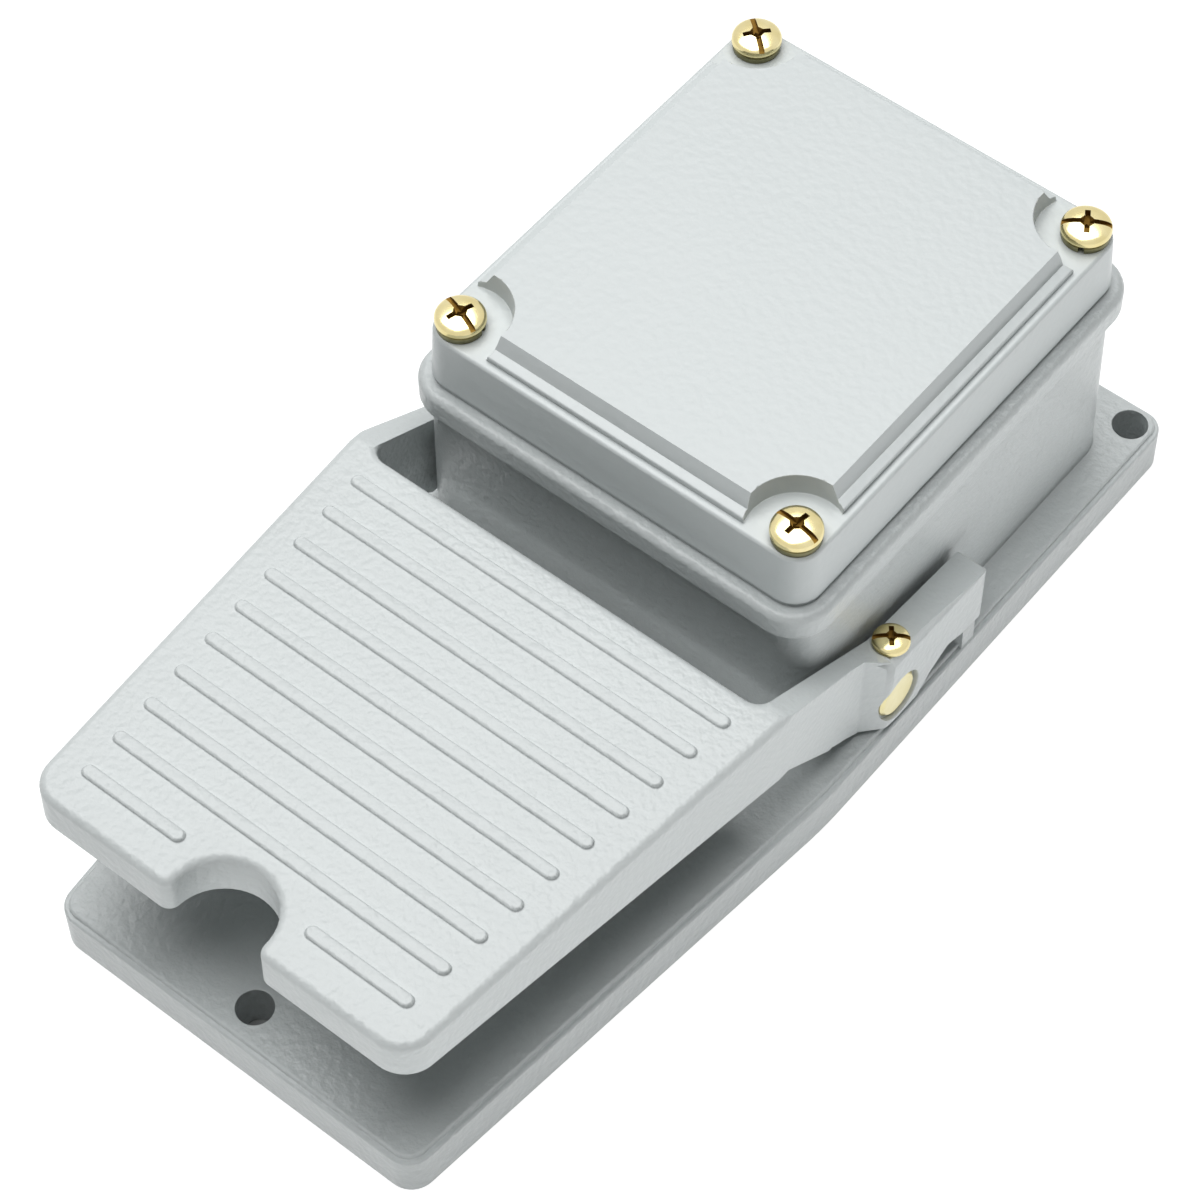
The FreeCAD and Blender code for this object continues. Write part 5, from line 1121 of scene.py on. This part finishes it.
# %% Inside screws
# Per node, in millimetres: head radius and height, thread radius and pitch, then thread steps and tilt in degrees.
INSIDE_SCREWS = {
    "bracket_screws": (3.5, 2.4, 2.0, 0.7, 60, 0),
    "earth_screw": (3.5, 2.4, 2.0, 0.7, 60, 0),
    "terminal_screws": (3.0, 2.0, 1.5, 0.5, 30, 0),
    "switch_mount_screws": (3.5, 2.4, 2.0, 0.7, 150, 90),
}
END_GAP = 0.02 * MM
for node_name, (head_radius, head_height, thread_radius, pitch, steps, tilt) in INSIDE_SCREWS.items():
    seats, length = head_seats(node_name, head_height * MM, lying=bool(tilt))
    inside_mesh = grown_mesh(
        screw_tree,
        seats,
        [turned(tilt, 35 + 50 * number) for number in range(len(seats))],
        {
            "Head Radius": head_radius * MM,
            "Head Height": head_height * MM,
            "Thread Radius": thread_radius * MM,
            "Length": length - head_height * MM - END_GAP,
            "Pitch": pitch * MM,
            "Thread Steps": steps,
            "Slot Width": 0.9 * MM,
            "Slot Depth": 0.9 * MM,
            "Cross Length": 1.2 * head_radius * MM,
            "Material": ZINC_STEEL,
            # The near-black drives are painted shade.
            "Recess Material": BLACK_STEEL_AND_DRIVE_SHADE,
        },
    )
    piece_from_mesh(node_name + "_threaded", inside_mesh, "housing", "steel", node_name)
    print(node_name, len(seats), "screws,", len(inside_mesh.polygons), "faces")

# %% [markdown]
# ## Coil springs
# The return spring stands on the floor of the box under the drive lever, and a small one returns the plunger.
# Both are wound from drawn wire, with a closed turn at each end. The wire follows a spiral whose height is
# remapped: flat for the first and last turn, and steep between.

# %% Spring tree
SPRING_SIZES = {"Coil Radius": 2.9 * MM, "Wire Radius": 0.6 * MM, "Turns": 6.0, "Height": 21.0 * MM}
spring_tree, size = new_tree("closed_coil_spring", SPRING_SIZES)
spiral = add_node(
    spring_tree,
    "GeometryNodeCurveSpiral",
    values={"Resolution": 32, "Height": 1.0},
    links={"Rotations": size["Turns"], "Start Radius": size["Coil Radius"], "End Radius": size["Coil Radius"]},
)
along = add_node(spring_tree, "GeometryNodeInputPosition")
along_parts = add_node(spring_tree, "ShaderNodeSeparateXYZ", links={0: along.outputs[0]})
share = along_parts.outputs[2]
first_end = add_node(spring_tree, MATH, values={0: 1.0}, links={1: size["Turns"]}, operation="DIVIDE")
last_start = add_node(spring_tree, MATH, values={0: 1.0}, links={1: first_end.outputs[0]}, operation="SUBTRACT")
wire_thick = add_node(spring_tree, MATH, values={1: 2.0}, links={0: size["Wire Radius"]}, operation="MULTIPLY")
three_wires = add_node(spring_tree, MATH, values={1: 6.0}, links={0: size["Wire Radius"]}, operation="MULTIPLY")
open_height = add_node(
    spring_tree, MATH, links={0: size["Height"], 1: three_wires.outputs[0]}, operation="SUBTRACT"
)
first_turn = add_node(
    spring_tree,
    "ShaderNodeMapRange",
    values={"From Min": 0.0},
    links={"Value": share, "From Max": first_end.outputs[0], "To Max": wire_thick.outputs[0]},
)
open_turns = add_node(
    spring_tree,
    "ShaderNodeMapRange",
    links={
        "Value": share,
        "From Min": first_end.outputs[0],
        "From Max": last_start.outputs[0],
        "To Max": open_height.outputs[0],
    },
)
last_turn = add_node(
    spring_tree,
    "ShaderNodeMapRange",
    values={"From Max": 1.0},
    links={"Value": share, "From Min": last_start.outputs[0], "To Max": wire_thick.outputs[0]},
)
lower_sum = add_node(
    spring_tree, MATH, links={0: first_turn.outputs[0], 1: open_turns.outputs[0]}, operation="ADD"
)
upper_sum = add_node(spring_tree, MATH, links={0: last_turn.outputs[0], 1: size["Wire Radius"]}, operation="ADD")
wire_height = add_node(
    spring_tree, MATH, links={0: lower_sum.outputs[0], 1: upper_sum.outputs[0]}, operation="ADD"
)
wire_place = add_node(
    spring_tree,
    "ShaderNodeCombineXYZ",
    links={0: along_parts.outputs[0], 1: along_parts.outputs[1], 2: wire_height.outputs[0]},
)
wound = add_node(
    spring_tree, "GeometryNodeSetPosition", links={"Geometry": spiral.outputs[0], "Position": wire_place.outputs[0]}
)
round_wire = add_node(
    spring_tree,
    "GeometryNodeCurvePrimitiveCircle",
    values={"Resolution": 12},
    links={"Radius": size["Wire Radius"]},
    mode="RADIUS",
)
coiled = add_node(
    spring_tree,
    "GeometryNodeCurveToMesh",
    values={"Fill Caps": True},
    links={"Curve": wound.outputs[0], "Profile Curve": round_wire.outputs[0]},
)
end_tree(spring_tree, size, coiled.outputs[0])

# %% [markdown]
# ## The two springs
# Both springs stand on the box and are pressed by a moving piece: the lever's seat swings on an arc, and the
# plunger moves straight. Each is wound to fill its CAD spring's box. The return spring's mesh is baked in place and
# rides on no body, and the small spring rides on the box.

# %% Springs
def coil_spring(node_name, body, wire_radius, turns):
    """A wound spring that fills the CAD spring's box, the middle of its foot and the height of its head."""
    low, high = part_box(node_name)
    foot = Vector(((low.x + high.x) / 2, (low.y + high.y) / 2, low.z))
    sizes = {"Coil Radius": (high.x - low.x) / 2 - wire_radius, "Wire Radius": wire_radius}
    sizes |= {"Turns": turns, "Height": high.z - low.z, "Material": SPRING_STEEL}
    mesh = grown_mesh(spring_tree, [foot], [(0, 0, 0)], sizes)
    print(node_name, round((high.z - low.z) / MM, 2), "mm long,", len(mesh.polygons), "faces")
    return piece_from_mesh(node_name + "_coiled", mesh, body, "spring_steel", node_name), foot, high.z


return_spring, foot, head_z = coil_spring("return_spring", None, 0.6 * MM, 6.0)
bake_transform(return_spring)

small_spring, foot, head_z = coil_spring("overtravel_spring", "housing", 0.3 * MM, 4.0)
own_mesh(small_spring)
